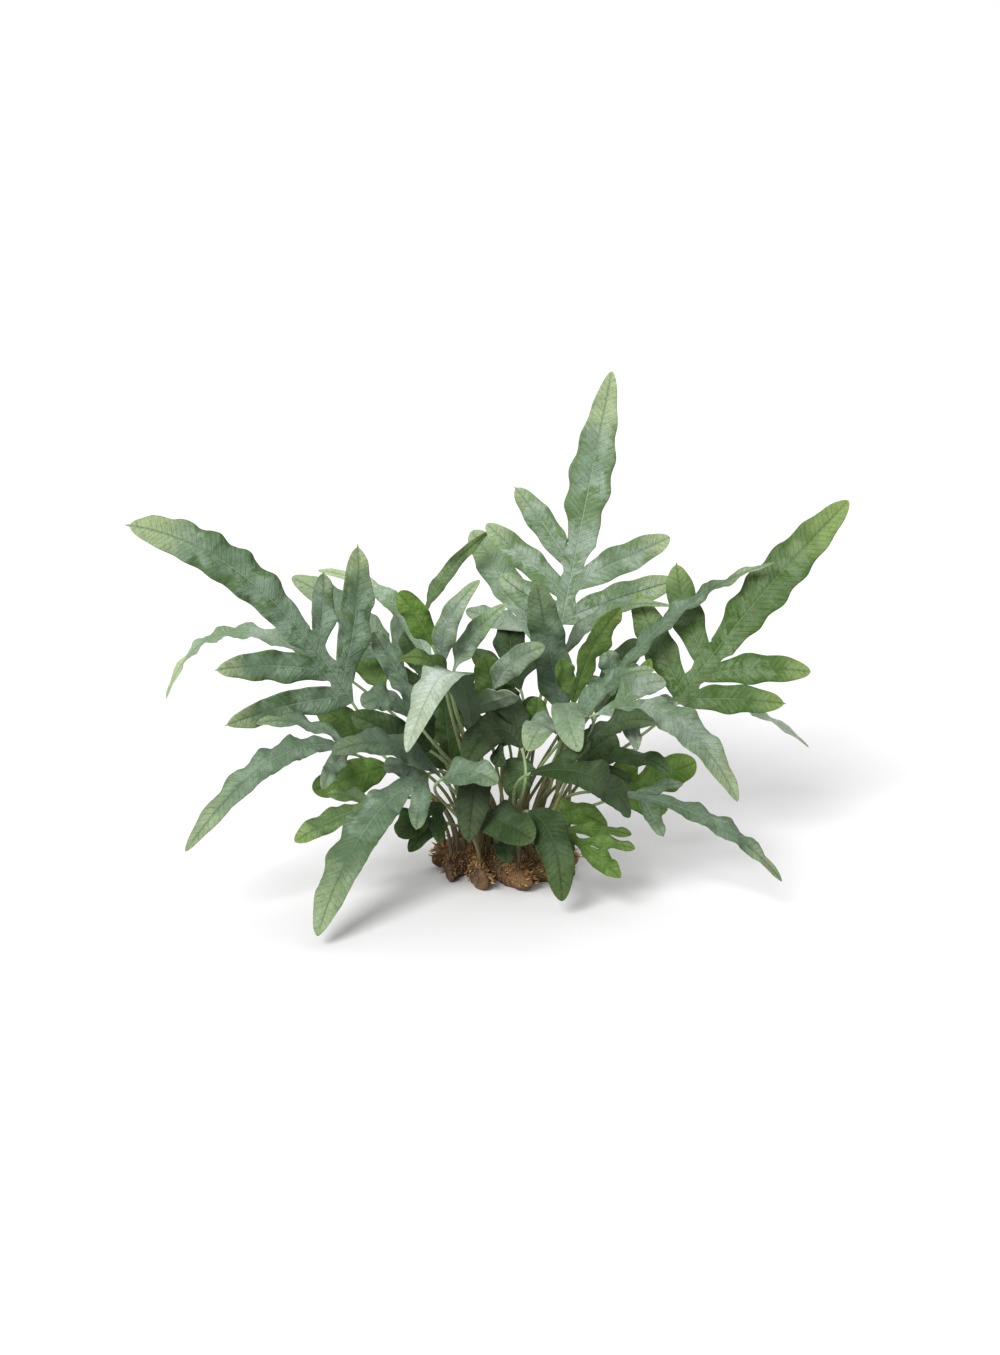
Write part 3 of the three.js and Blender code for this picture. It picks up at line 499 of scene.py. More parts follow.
def placed_lobes(plan, rachis_length):
    """Where each lobe sits on its side of the web, and how far the lobes of each side reach."""
    placed = []
    reach = {-1: 0, 1: 0}
    for side in SIDES:
        start = 1
        own = sorted((item for item in plan["lobes"] if item["side"] == side), key=lambda item: item["at"])
        for order, item in enumerate(own):
            half = LOBE_BASE_SHARE * plan["width"] * item["width"] / 100
            begin = max(item["at"] * rachis_length / 100 - half, start)
            start = begin + 2 * half + LOBE_GAP
            placed.append({**item, "order": order, "half": half, "middle": begin + half})
            reach[side] = start - LOBE_GAP
    return placed, reach


def web_rim(own, web_half, web_end, end_half, x):
    """Half width of the web along x: level along each lobe's base, with a rounded notch between lobes."""
    edges = [(0, COLLAR_HALF)]
    for item in own:
        edges += [(item["middle"] - item["half"], web_half), (item["middle"] + item["half"], web_half)]
    edges.append((web_end, end_half))
    rim = np.interp(x, [edge[0] for edge in edges], [edge[1] for edge in edges])
    for (start, _), (end, _) in zip(edges[2:-1:2], edges[3::2]):
        inside = np.clip((x - start) / (end - start), 0, 1)
        rim = rim - min(NOTCH_SHARE * (end - start), NOTCH_DEPTH) * np.sin(math.pi * inside)
    return rim


class Blade:
    """A blade laid flat. Its points are x along the midrib, y across, height off the sheet and rib height."""

    def __init__(self, plan, index, rachis_length):
        self.plan = plan
        self.index = index
        self.sheet = Surface()
        self.rows = {}
        self.web_half = WEB_SHARE * plan["width"]
        self.lobes, reach = placed_lobes(plan, rachis_length)
        self.web_end = max(reach.values()) + LOBE_GAP if self.lobes else 0
        self.end_length = rachis_length - self.web_end - END_INSET
        self.end_half = {side: self.half_at_end(reach[side]) for side in SIDES}
        self.lay_web()
        for item in self.lobes:
            self.lay_lobe(item)
        self.lay_end()

    def half_at_end(self, reach):
        """Half width of the web where the end lobe begins."""
        if not self.lobes:
            return COLLAR_HALF
        first = self.web_half if reach > 0 else COLLAR_HALF
        widened = first + WEB_WIDENING * max(0, self.web_end - reach - LOBE_GAP)
        return min(WEB_LIMIT * self.plan["width"], widened)

    def web_stations(self):
        """Places along the web: every lobe's ends, middle and vein, with even points between."""
        if not self.lobes:
            return np.array([0.0])
        breaks = {0.0, float(self.web_end)}
        for item in self.lobes:
            for offset in (-item["half"], 0, item["half"], *RIB_COLUMNS, *(-y for y in RIB_COLUMNS)):
                breaks.add(round(item["middle"] + offset, 4))
        return spaced(sorted(breaks), MESH_STEP)

    def lay_web(self):
        """The web along the midrib, one half at a time. Without lobes it is one row of points."""
        self.stations = self.web_stations()
        spine = None
        for side in SIDES:
            own = [item for item in self.lobes if item["side"] == side]
            rim = np.array([COLLAR_HALF])
            if self.lobes:
                rim = web_rim(own, self.web_half, self.web_end, self.end_half[side], self.stations)
            y = side_columns(rim)
            x = np.broadcast_to(self.stations[:, None], y.shape)
            branch = np.full(y.shape, FAR)
            for item in own:
                lean = math.radians(item["lean"])
                distance = (x - item["middle"]) * math.sin(lean) + (self.web_half - y) * math.cos(lean)
                branch = np.where(np.abs(distance) < np.abs(branch), distance, branch)
            ribs = np.maximum(rib(y, 1.0), rib(branch, BRANCH_RIB * ease(y / self.web_half)))
            grid = self.sheet.add(np.stack([x, side * y, fold_height(y, self.web_half), ribs], axis=-1))
            if spine is None:
                spine = grid[:, 0]
            grid[:, 0] = spine
            self.rows[side] = grid
            if self.lobes:
                self.sheet.patch(grid, marks_of(x, side * y, branch, 0, 0, self.index), side < 0)

    def lay_lobe(self, item):
        """A side lobe, a strap on its own curved midvein that grows out of the web's rim."""
        side, length, middle, order = (item[key] for key in ("side", "length", "middle", "order"))
        lean = math.radians(item["lean"])
        bend = math.radians(item["curl"])
        waves = max(3, round(length / LOBE_WAVE_LENGTH))
        widest = LOBE_WIDTH_SHARE * self.plan["width"] * item["width"] / 100
        seeds = (self.index * 7 + order * 3 + side, self.index * 5 + order * 2 + side + 9)
        tail = 1 if draw(seeds[0] + 40) > TAILED_LOBES else 0
        base = np.flatnonzero(np.abs(self.stations - middle) <= item["half"] + 1e-3)
        v = (self.stations[base] - middle)[None, :] / item["half"]
        u = tip_stations(length)[1:, None]
        angle = lean - bend * u
        mid_x = middle + length * (math.sin(lean) - np.sin(angle)) / bend
        mid_y = self.web_half + length * (np.cos(angle) - math.cos(lean)) / bend
        first, second = (margin_wave(u, waves, length, seed) for seed in seeds)
        even, ripple = (np.where(v > 0, one, other) for one, other in zip(first, second))
        half = uneven(scalloped(widest * lobe_outline(u, tail, LOBE_TAPER), u, even), u, even, ripple)
        free = ease(u / LOBE_JOINING)
        strap_x = mid_x + v * half * np.sin(angle)
        strap_y = mid_y - v * half * np.cos(angle)
        base_x = middle + v * item["half"]
        height = fold_height(self.web_half, self.web_half) + free * fold_height(v * half, self.web_half)
        height = height - LOBE_SAG * length * u * u
        height = height + self.plan["wave"] * np.abs(v) ** WAVE_RISE * ripple * free * (1 - u ** 4)
        x = base_x + (strap_x - base_x) * free
        y = side * (self.web_half + (strap_y - self.web_half) * free)
        across = v * np.maximum(half, 0.02)
        ribs = rib(across, BRANCH_RIB * (1 - RIB_FADING * u))
        points = self.sheet.add(np.stack([x, y, height, ribs], axis=-1))
        grid = np.vstack([self.rows[side][base, -1][None, :], points])
        grid[-1, :] = grid[-1, 0]
        u = np.vstack([[[0.0]], u])
        across = np.vstack([v * item["half"] * math.sin(lean), across])
        rim = np.abs(v) ** 2 * ease(u / RIM_JOINING)
        self.sheet.patch(grid, marks_of(u * length, across, FAR, rim, u, self.index + order / 7), side > 0)

    def lay_end(self):
        """The end lobe, one half at a time."""
        length = self.end_length
        waves = max(4, round(length / END_WAVE_LENGTH))
        tail = 1 if self.plan["name"] in TAILED_ENDS else 0
        u = tip_stations(length)[1:]
        widest = self.plan["width"] / 2 * lobe_outline(u, tail, self.plan["taper"])
        free = ease(u / END_JOINING)
        spine = None
        for side in SIDES:
            start = self.end_half[side]
            even, ripple = margin_wave(u, waves, length, self.index * 3 + side + 4)
            half = start + (scalloped(widest, u, even) - start) * free
            half = uneven(half, u, even, ripple)
            y = side_columns(half, np.clip(half / NARROW_HALF, 0, 1)[:, None])
            v = y / np.maximum(half, 1e-6)[:, None]
            height = fold_height(y, self.web_half)
            height = height + self.plan["wave"] * v ** WAVE_RISE * (ripple * free * (1 - u ** 4))[:, None]
            x = np.broadcast_to((self.web_end + length * u)[:, None], y.shape)
            ribs = rib(y, 1 - RIB_FADING * u[:, None])
            grid = self.sheet.add(np.stack([x, side * y, height, ribs], axis=-1))
            if spine is None:
                spine = grid[:, 0]
            grid[:, 0] = spine
            grid[-1, :] = spine[-1]
            grid = np.vstack([self.rows[side][-1][None, :], grid])
            first_y = side_columns(start)
            all_y = np.vstack([first_y, y])
            all_v = np.vstack([first_y / start, v])
            all_u = np.concatenate([[0.0], u])[:, None]
            rim = all_v ** 2 * (ease(all_u / RIM_JOINING) if self.lobes else 1)
            marks = marks_of(self.web_end + length * all_u, side * all_y, FAR, rim, all_u, self.index)
            self.sheet.patch(grid, marks, side < 0)

    def first_row(self):
        """The numbers of the points where the stem joins, left to right."""
        return np.array([*self.rows[-1][0, ::-1], *self.rows[1][0, 1:]])


def stem_line(plan, rachis):
    """Middle line of a stem from its foot to the blade: straight out of the socket, then a bend."""
    foot = foot_point(plan["foot"])
    lip = foot + [0, 0, SOCKET_DEPTH + 2]
    reach = np.linalg.norm(lip - rachis.start)
    bow = np.array([plan["bow"][0], plan["bow"][1], 0])
    heading = unit(rachis.pull - rachis.start)
    rising = lip + [0, 0, STEM_RISE * reach] + bow
    joining = rachis.start - STEM_JOINING * reach * heading + bow
    steps = max(8, round(reach / STEM_STEP))
    bend = bezier([lip, rising, joining, rachis.start], np.linspace(0, 1, steps + 1))
    return np.vstack([foot, (foot + lip) / 2, bend])


def zip_rings(upper, lower):
    """Triangles between two closed rings of point numbers that start side by side."""
    faces = []
    i = j = 0
    while i < len(upper) or j < len(lower):
        if j == len(lower) or (i < len(upper) and (i + 0.5) / len(upper) <= (j + 0.5) / len(lower)):
            faces.append([upper[(i + 1) % len(upper)], upper[i % len(upper)], lower[j % len(lower)]])
            i += 1
        else:
            faces.append([upper[i % len(upper)], lower[j % len(lower)], lower[(j + 1) % len(lower)]])
            j += 1
    return faces


def face_normals(points, quads, triangles):
    """Mean direction of the faces round each point."""
    normals = np.zeros_like(points)
    for faces, (a, b, c, d) in ((quads, (0, 2, 1, 3)), (triangles, (0, 1, 0, 2))):
        p = points[faces]
        facing = np.cross(p[:, b] - p[:, a], p[:, d] - p[:, c])
        for k in range(faces.shape[1]):
            np.add.at(normals, faces[:, k], facing)
    return unit(normals)


def open_edges(quads, triangles):
    """Edges that only one face has, in that face's direction."""
    edges = np.vstack([np.stack([faces, np.roll(faces, -1, axis=1)], axis=-1).reshape(-1, 2)
                       for faces in (quads, triangles)])
    count = edges.max() + 1
    codes = edges[:, 0] * count + edges[:, 1]
    partners = edges[:, 1] * count + edges[:, 0]
    return edges[~np.isin(codes, partners)]


def frond_surface(plan, index):
    """One frond as a closed surface: the thickened blade and its stem."""
    rachis = Rachis(plan)
    blade = Blade(plan, index, rachis.length)
    flat, faces, marks, _ = blade.sheet.whole()
    used = np.unique(np.concatenate([faces[4].ravel(), faces[3].ravel()]))
    number = np.zeros(len(flat), int)
    number[used] = np.arange(len(used))
    flat = flat[used]
    faces = {n: number[faces[n]] for n in faces}
    first_row = number[blade.first_row()]
    middle = rachis.bend(flat)
    ribs = flat[:, 3]
    normals = face_normals(middle, faces[4], faces[3])
    count = len(middle)

    edges = open_edges(faces[4], faces[3])
    edges = edges[~np.isin(edges, first_row).all(axis=1)]
    thickness = np.full(count, BLADE_THICKNESS)
    thickness[np.setdiff1d(edges, first_row)] = MARGIN_THICKNESS
    surface = Surface()
    surface.add(middle + normals * (thickness / 2 - GROOVE_DEPTH * ribs ** 2)[:, None])
    surface.add(middle - normals * (thickness / 2 + RIB_HEIGHT * ribs)[:, None])
    point_marks = np.zeros((count, MARKS))
    for n in (4, 3):
        surface.face(faces[n], marks[n], UPPER)
        surface.face(faces[n][:, ::-1] + count, marks[n][:, ::-1], UNDER)
        point_marks[faces[n].ravel()] = marks[n].reshape(-1, MARKS)
    a, b = edges.T
    surface.face(np.stack([a, a + count, b + count, b], axis=1),
                 np.stack([point_marks[k] for k in (a, a, b, b)], axis=1), UPPER)
    add_stem(surface, plan, index, rachis, [*first_row, *(first_row[::-1] + count)])
    return surface


def add_stem(surface, plan, index, rachis, ring):
    """The stem, from the ring of points where the blade begins down to the foot."""
    line = stem_line(plan, rachis)[::-1]
    lengths = np.concatenate([[0], np.cumsum(np.linalg.norm(np.diff(line, axis=0), axis=1))])
    shares = lengths / lengths[-1]
    turns = np.radians(180 - 360 * (np.arange(STEM_SIDES) + 0.5) / STEM_SIDES)
    normal = rachis.directions([0])[1][0]
    ring_marks = [marks_of(-length, 0, FAR, 0, share, index) for length, share in zip(lengths, shares)]
    for step in range(1, len(line)):
        below = line[min(step + 1, len(line) - 1)]
        along = unit(line[step - 1] - below)
        normal = unit(normal - along * (normal @ along))
        across = np.cross(along, normal)
        radius = STEM_TOP_RADIUS + (STEM_FOOT_RADIUS - STEM_TOP_RADIUS) * shares[step]
        circle = np.cos(turns)[:, None] * across + np.sin(turns)[:, None] * normal
        following = surface.add(line[step] + radius * circle)
        band = zip_rings(ring, list(following))
        low = np.isin(band, following)[..., None]
        surface.face(band, np.where(low, ring_marks[step], ring_marks[step - 1]), STEM)
        ring = list(following)
    cap = [[ring[0], ring[k + 1], ring[k]] for k in range(1, len(ring) - 1)]
    surface.face(cap, ring_marks[-1], STEM)


def linear(colour):
    """A hex colour as the linear red, green, blue and alpha that shaders take."""
    parts = [int(colour[k:k + 2], 16) / 255 for k in (1, 3, 5)]
    return [p / 12.92 if p <= 0.04045 else ((p + 0.055) / 1.055) ** 2.4 for p in parts] + [1.0]


def base_colour(colour):
    """The base colour that looks like a hex colour under the studio's light."""
    return [part / STUDIO_GAIN for part in linear(colour)[:3]] + [1.0]


class Nodes:
    """Short ways to write a material's node tree."""

    def __init__(self, name):
        self.material = bpy.data.materials.new(name)
        self.material.use_nodes = True
        self.tree = self.material.node_tree
        self.shader = self.tree.nodes["Principled BSDF"]
        self.output = self.tree.nodes["Material Output"]

    def node(self, kind, inputs, **settings):
        """A node of a kind, with its settings and its inputs by name or number."""
        made = self.tree.nodes.new(f"ShaderNode{kind}")
        for key, value in settings.items():
            setattr(made, key, value)
        self.fill(made, inputs)
        return made

    def fill(self, node, inputs):
        """Gives a node's inputs their values, or links them to the sockets that feed them."""
        for key, value in inputs.items():
            if isinstance(value, bpy.types.NodeSocket):
                self.tree.links.new(value, node.inputs[key])
            else:
                node.inputs[key].default_value = value

    def math(self, operation, *values):
        return self.node("Math", dict(enumerate(values)), operation=operation).outputs[0]

    def plus(self, first, second):
        return self.math("ADD", first, second)

    def times(self, first, second):
        return self.math("MULTIPLY", first, second)

    def smooth(self, value, low, high, start=0.0, end=1.0):
        """Goes smoothly from start to end as value goes from low to high."""
        inputs = dict(enumerate((value, low, high, start, end)))
        return self.node("MapRange", inputs, interpolation_type="SMOOTHSTEP").outputs[0]

    def mix(self, share, first, second):
        """A mix of two colours, each a socket, a hex colour or a linear one."""
        first, second = (linear(colour) if isinstance(colour, str) else colour for colour in (first, second))
        return self.node("Mix", {"Factor": share, 6: first, 7: second}, data_type="RGBA").outputs[2]

    def attribute(self, name):
        """The three parts of a vector attribute."""
        made = self.node("Attribute", {}, attribute_name=name)
        return self.node("SeparateXYZ", {0: made.outputs["Vector"]}).outputs

    def vector(self, x, y, z):
        return self.node("CombineXYZ", {0: x, 1: y, 2: z}).outputs[0]

    def noise(self, vector, scale, detail=2.0, roughness=0.5, distortion=0.0):
        inputs = {"Vector": vector, "Scale": scale, "Detail": detail, "Roughness": roughness,
                  "Distortion": distortion}
        return self.node("TexNoise", inputs).outputs[0]

    def cell_edges(self, vector, scale):
        """Distance to the nearest edge of an uneven net."""
        inputs = {"Vector": vector, "Scale": scale}
        return self.node("TexVoronoi", inputs, feature="DISTANCE_TO_EDGE").outputs["Distance"]

    def place(self):
        return self.node("TexCoord", {}).outputs["Object"]

    def bump(self, height, strength, distance):
        inputs = {"Strength": strength, "Distance": distance, "Height": height}
        self.fill(self.shader, {"Normal": self.node("Bump", inputs).outputs[0]})

    def skin(self, colour, roughness):
        self.fill(self.shader, {"Base Color": colour, "Roughness": roughness})


def leaf_material(tone, underside):
    """Waxy sheet with clouds of bloom, green margins, light tips, a midrib and feathered veins."""
    colours = dict(zip(COLOUR_PARTS, map(base_colour, TONES[tone])))
    g = Nodes(f"{tone}_{'under' if underside else 'upper'}_side")
    along, across, branch = g.attribute("vein")
    rim, share, seed = g.attribute("zone")
    place = g.place()

    # Clouds and patches over the whole leaf, and strokes that run outwards from the midvein.
    clouds = g.noise(place, 42, 5, 0.6, 0.6)
    patches = g.noise(place, 85, 5, 0.62, 0.5)
    shades = g.noise(place, 26, 3, 0.55, 0.4)
    away = g.math("ABSOLUTE", across)
    row = g.math("SUBTRACT", along, g.times(away, VEIN_LEAN))
    shift = g.plus(g.times(seed, 3.7), g.times(g.math("SIGN", across), 7.3))
    strokes = g.noise(g.vector(g.times(row, 1.15), g.times(away, 0.16), shift), 1.0, 4, 0.62)
    fine = g.noise(g.vector(g.times(row, 3.1), g.times(away, 0.5), shift), 1.0, 3, 0.6)
    wander = g.times(g.math("SUBTRACT", strokes, 0.5), 1.6)
    phase = g.math("FRACT", g.math("DIVIDE", g.plus(row, g.plus(wander, shift)), VEIN_SPACING))
    vein = g.smooth(g.math("ABSOLUTE", g.math("SUBTRACT", phase, 0.5)), 0.0, 0.12, 1.0, 0.0)

    # How much of each colour shows. The tall fronds, the first of all, are mottled most and have the
    # lightest tips.
    edge = g.smooth(rim, 0.2, 0.9)
    bloom = g.smooth(g.plus(clouds, g.times(edge, -0.08)), 0.44, 0.58)
    mottled = g.smooth(seed, TALL_FRONDS - 0.4, TALL_FRONDS, 1.0, 0.5)
    green = g.smooth(g.plus(patches, g.times(edge, 0.12)), 0.52, 0.625, 0.0, 0.95)
    ends = g.plus(share, g.times(g.math("SUBTRACT", clouds, 0.5), 0.5))
    large = g.times(g.smooth(along, 35, 85, 0.4, 1.0), g.smooth(mottled, 0.5, 1.0, 0.65, 0.95))
    specks = g.smooth(g.noise(place, 1150, 1), 0.72, 0.8, 0.0, 0.35)

    # Midribs: pale between two dark lines near the stem, dark and thin towards the tip. The dark lines are
    # painted shade in the grooves beside the midrib.
    midrib = g.smooth(away, 0.28, 0.6, 1.0, 0.0)
    groove_shade = g.times(g.smooth(away, 0.35, 0.8), g.smooth(away, 0.8, 1.5, 1.0, 0.0))
    colours["rib"] = g.mix(g.smooth(share, 0.35, 0.75), colours["bloom"], colours["dark"])

    colour = g.mix(bloom, colours["sheet"], colours["bloom"])
    if underside:
        colour = g.mix(0.82, colour, colours["under"])
    for part, amount in (
        ("patch", g.times(green, mottled)),
        ("patch", g.smooth(shades, 0.5, 0.66, 0.0, 0.65)),
        ("bloom", g.smooth(shades, 0.48, 0.32, 0.0, 0.5)),
        ("tip", g.times(g.smooth(ends, 0.56, 0.96), large)),
        ("dark", g.smooth(strokes, 0.5, 0.72, 0.0, 0.5)),
        ("bloom", g.smooth(strokes, 0.5, 0.3, 0.0, 0.4)),
        ("dark", g.smooth(fine, 0.54, 0.7, 0.0, 0.5)),
        ("dark", g.times(vein, 0.15)),
        ("dark", g.smooth(g.cell_edges(place, 330), 0.0, 0.11, 0.28, 0.0)),
        ("dark", specks),
        # Painted shade along the grooves beside the midrib.
        ("dark", g.times(groove_shade, 0.25)),
        ("rib", g.times(midrib, g.smooth(share, 0.93, 1.0, 0.6, 0.0))),
        ("dark", g.smooth(g.math("ABSOLUTE", branch), 0.15, 0.55, 0.4, 0.0)),
        ("bloom", g.times(g.smooth(rim, 0.93, 1.0), 0.35)),
    ):
        colour = g.mix(amount, colour, colours[part])
    # Pale fronds turn to the underside's green on the half nearer the stem: painted shade for that shadowed
    # half.
    if tone == "pale":
        colour = g.mix(g.smooth(share, 0.46, 0.3, 0.0, 0.85), colour, colours["under"])
    # Each frond's shade scales its colour: partly its own tone, partly painted light and shade.
    shade = g.node("Attribute", {}, attribute_name="shade").outputs["Fac"]
    colour = g.node("VectorMath", {0: colour, "Scale": shade}, operation="SCALE").outputs[0]

    g.skin(colour, g.smooth(clouds, 0.35, 0.7, 0.5, 0.64))
    g.fill(g.shader, {"Specular IOR Level": 0.2, "Sheen Weight": 0.04, "Sheen Roughness": 0.5})
    ridges = g.plus(g.times(vein, 0.5), g.plus(strokes, g.times(fine, 0.4)))
    g.bump(g.plus(ridges, g.times(patches, 3.5)), 0.8, 0.0006)

    through = g.node("BsdfTranslucent", {"Color": colours["glow"]}).outputs[0]
    both = g.node("MixShader", {0: 0.16, 1: g.shader.outputs[0], 2: through})
    g.fill(g.output, {"Surface": both.outputs[0]})
    return g.material


def stem_material():
    """Green at the blade, browner and darker towards the foot, finely streaked along its length."""
    g = Nodes("stem_skin")
    along, _, _ = g.attribute("vein")
    _, share, seed = g.attribute("zone")
    mottle = g.noise(g.place(), 180, 3, 0.6)
    ends = g.plus(share, g.times(g.math("SUBTRACT", mottle, 0.5), 0.5))
    streaks = g.noise(g.vector(g.times(along, 0.12), seed, g.times(mottle, 3)), 1.0, 3)
    colour = g.mix(g.smooth(ends, 0.02, 0.5), "#6f8458", "#66663a")
    colour = g.mix(g.smooth(ends, 0.5, 1.0), colour, "#463a22")
    colour = g.mix(g.smooth(streaks, 0.5, 0.7, 0.0, 0.4), colour, "#332b1a")
    g.skin(colour, g.smooth(mottle, 0.3, 0.7, 0.42, 0.6))
    g.bump(mottle, 0.3, 0.0003)
    return g.material


def rhizome_material():
    """Dark brown rootstock skin, lighter and redder on its lumps."""
    g = Nodes("rhizome_skin")
    place = g.place()
    broad = g.noise(place, 60, 3, 0.6)
    fine = g.noise(place, 420, 4, 0.65)
    colour = g.mix(g.smooth(broad, 0.35, 0.68), "#382817", "#664a29")
    colour = g.mix(g.smooth(fine, 0.52, 0.72, 0.0, 0.6), colour, "#866538")
    g.skin(colour, g.smooth(fine, 0.3, 0.7, 0.72, 0.9))
    g.bump(g.plus(g.times(broad, 0.5), fine), 0.7, 0.0012)
    return g.material


def scale_material():
    """Golden chaffy scales, each a little lighter or redder than the next, paler at its edges."""
    g = Nodes("rhizome_scale")
    own, across, share = g.attribute("scale")
    colour = g.mix(g.smooth(own, 0.0, 1.0), "#6a4824", "#a07a44")
    colour = g.mix(g.smooth(share, 0.4, 1.0, 0.0, 0.6), colour, "#b8985f")
    colour = g.mix(g.smooth(across, 0.6, 1.0, 0.0, 0.4), colour, "#c2a873")
    colour = g.mix(g.smooth(g.noise(g.place(), 700, 2), 0.5, 0.75, 0.0, 0.35), colour, "#523619")
    g.skin(colour, 0.55)
    return g.material


def mesh_piece(name, surface, materials, attributes):
    """A smooth-shaded mesh object from a surface in millimetres, with its corner marks as attributes."""
    points, faces, marks, kinds = surface.whole()
    mesh = bpy.data.meshes.new(name)
    mesh.from_pydata((points * MM).tolist(), [], [*faces[4].tolist(), *faces[3].tolist()])
    mesh.polygons.foreach_set("material_index", np.concatenate([kinds[4], kinds[3]]).astype(np.int32))
    mesh.shade_smooth()
    corner_marks = np.concatenate([marks[n].reshape(-1, MARKS) for n in (4, 3)])
    for attribute, columns in attributes.items():
        layer = mesh.attributes.new(attribute, "FLOAT_VECTOR", "CORNER")
        layer.data.foreach_set("vector", corner_marks[:, columns].astype(np.float32).ravel())
    mesh.validate()
    for material in materials:
        mesh.materials.append(material)
    piece = bpy.data.objects.new(name, mesh)
    bpy.context.scene.collection.objects.link(piece)
    return piece


def add_fronds():
    """Every frond, a piece of its own, in its tone's materials and its own shade, partly painted light and
    shade.
    """
    stem = stem_material()
    sides = {tone: [leaf_material(tone, False), leaf_material(tone, True), stem] for tone in TONES}
    attributes = {"vein": slice(0, 3), "zone": slice(3, 6)}
    for index, plan in enumerate(FRONDS):
        surface = frond_surface(plan, index)
        piece = mesh_piece(f"leaf_{plan['name']}", surface, sides[plan["tone"]], attributes)
        # The frond's shade, partly its own tone and partly painted light and shade, on every point.
        shades = np.full(len(piece.data.vertices), plan["shade"], np.float32)
        piece.data.attributes.new("shade", "FLOAT", "POINT").data.foreach_set("value", shades)
        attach(piece, "root")
        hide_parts(f"frond_{plan['name']}")


def arm_point(arm, distance, side, height):
    """A point by its distance along an arm, its place across the arm and its height."""
    angle = arm_angle(arm, distance)
    return np.array([distance * math.cos(angle) - side * math.sin(angle),
                     distance * math.sin(angle) + side * math.cos(angle), height])


def arm_radius(arm, distance):
    """Radius of an arm, with the lumps of its rings."""
    lumps = [1 + RING_LUMP * (draw(arm * 11 + order * 5) - 0.4) for order in range(len(ARM_RINGS))]
    lumps[-1] *= LAST_RING
    return ARM_RADIUS * np.interp(distance, ARM_RINGS, lumps)


def arm_tip(arm):
    """The point that an arm's round end reaches."""
    distance = ARM_RINGS[-1] + TIP_REACH + TIP_SPREAD * draw(arm + 3)
    angle = arm_angle(arm, distance) + math.radians(TIP_TURN * (draw(arm + 17) - 0.5))
    return np.array([distance * math.cos(angle), distance * math.sin(angle), ARM_HEIGHT + 1])


def arm_surface(arm):
    """One creeping arm, closed and round at both ends."""
    surface = Surface()
    turns = 2 * math.pi * np.arange(ARM_SIDES) / ARM_SIDES
    centre_end = arm_point(arm, ARM_RINGS[-1], 0, ARM_HEIGHT)
    tip = arm_tip(arm)
    rings = []
    for distance in np.arange(ARM_RINGS[0], ARM_RINGS[-1] + 1e-6, ARM_STEP):
        lump = 1 + ARM_SWELLING * math.sin(distance * 0.9 + arm)
        rings.append((arm_point(arm, distance, 0, ARM_HEIGHT), distance, arm_radius(arm, distance) * lump))
    for share in TIP_SHARES:
        radius = arm_radius(arm, ARM_RINGS[-1]) * math.sqrt(1 - share ** 2)
        rings.append((centre_end + (tip - centre_end) * share, ARM_RINGS[-1], radius))
    grids = []
    for middle, distance, radius in rings:
        angle = arm_angle(arm, distance)
        across = np.array([-math.sin(angle), math.cos(angle), 0])
        circle = np.cos(turns)[:, None] * across * radius
        circle = circle + np.sin(turns)[:, None] * np.array([0, 0, radius + ARM_CROWN * radius / ARM_RADIUS])
        grids.append(surface.add(middle + circle))
    ends = surface.add(np.array([arm_point(arm, ARM_RINGS[0] - 2, 0, ARM_HEIGHT), tip]))
    for low, high in zip(grids, grids[1:]):
        surface.face(np.stack([low, np.roll(low, -1), np.roll(high, -1), high], axis=1), 0, UPPER)
    first, last = grids[0], grids[-1]
    surface.face(np.stack([np.roll(first, -1), first, np.full(ARM_SIDES, ends[0])], axis=1), 0, UPPER)
    surface.face(np.stack([last, np.roll(last, -1), np.full(ARM_SIDES, ends[1])], axis=1), 0, UPPER)
    return surface


def add_rhizome():
    """All arms grown together by a voxel remesh, roughened, and flat below."""
    skin = rhizome_material()
    arms = [mesh_piece(f"arm_{arm}", arm_surface(arm), [skin], {}) for arm in range(ARM_COUNT)]
    with bpy.context.temp_override(active_object=arms[0], selected_editable_objects=arms):
        bpy.ops.object.join()
    piece = arms[0]
    piece.name = "rootstock"
    remesh = piece.modifiers.new("grown_together", "REMESH")
    remesh.mode = "VOXEL"
    remesh.voxel_size = RHIZOME_VOXEL * MM
    remesh.use_smooth_shade = True
    evaluated = piece.evaluated_get(bpy.context.evaluated_depsgraph_get())
    mesh = bpy.data.meshes.new_from_object(evaluated)
    piece.modifiers.clear()
    piece.data = mesh
    points, normals = (np.zeros(len(mesh.vertices) * 3, np.float32) for _ in range(2))
    mesh.vertices.foreach_get("co", points)
    mesh.vertex_normals.foreach_get("vector", normals)
    points, normals = points.reshape(-1, 3), normals.reshape(-1, 3)
    lumps = [sum(noise.noise(Vector(p) * rate) * share for rate, share in SKIN_LUMPS) for p in points]
    points += normals * np.array(lumps, np.float32)[:, None] * ROUGHNESS * MM
    points[:, 2] = np.maximum(points[:, 2], 0)
    mesh.vertices.foreach_set("co", points.ravel())
    mesh.update()
    mesh.materials.clear()
    mesh.materials.append(skin)
    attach(piece, "root")
    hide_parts("rhizome")


def scale(base, forward, outward, length, lift):
    """A scale as its base, the way it points, the way it faces and its length."""
    outward = unit(outward)
    forward = unit(forward - outward * (forward @ outward))
    return (base, forward * math.cos(lift) + outward * math.sin(lift),
            outward * math.cos(lift) - forward * math.sin(lift), length)


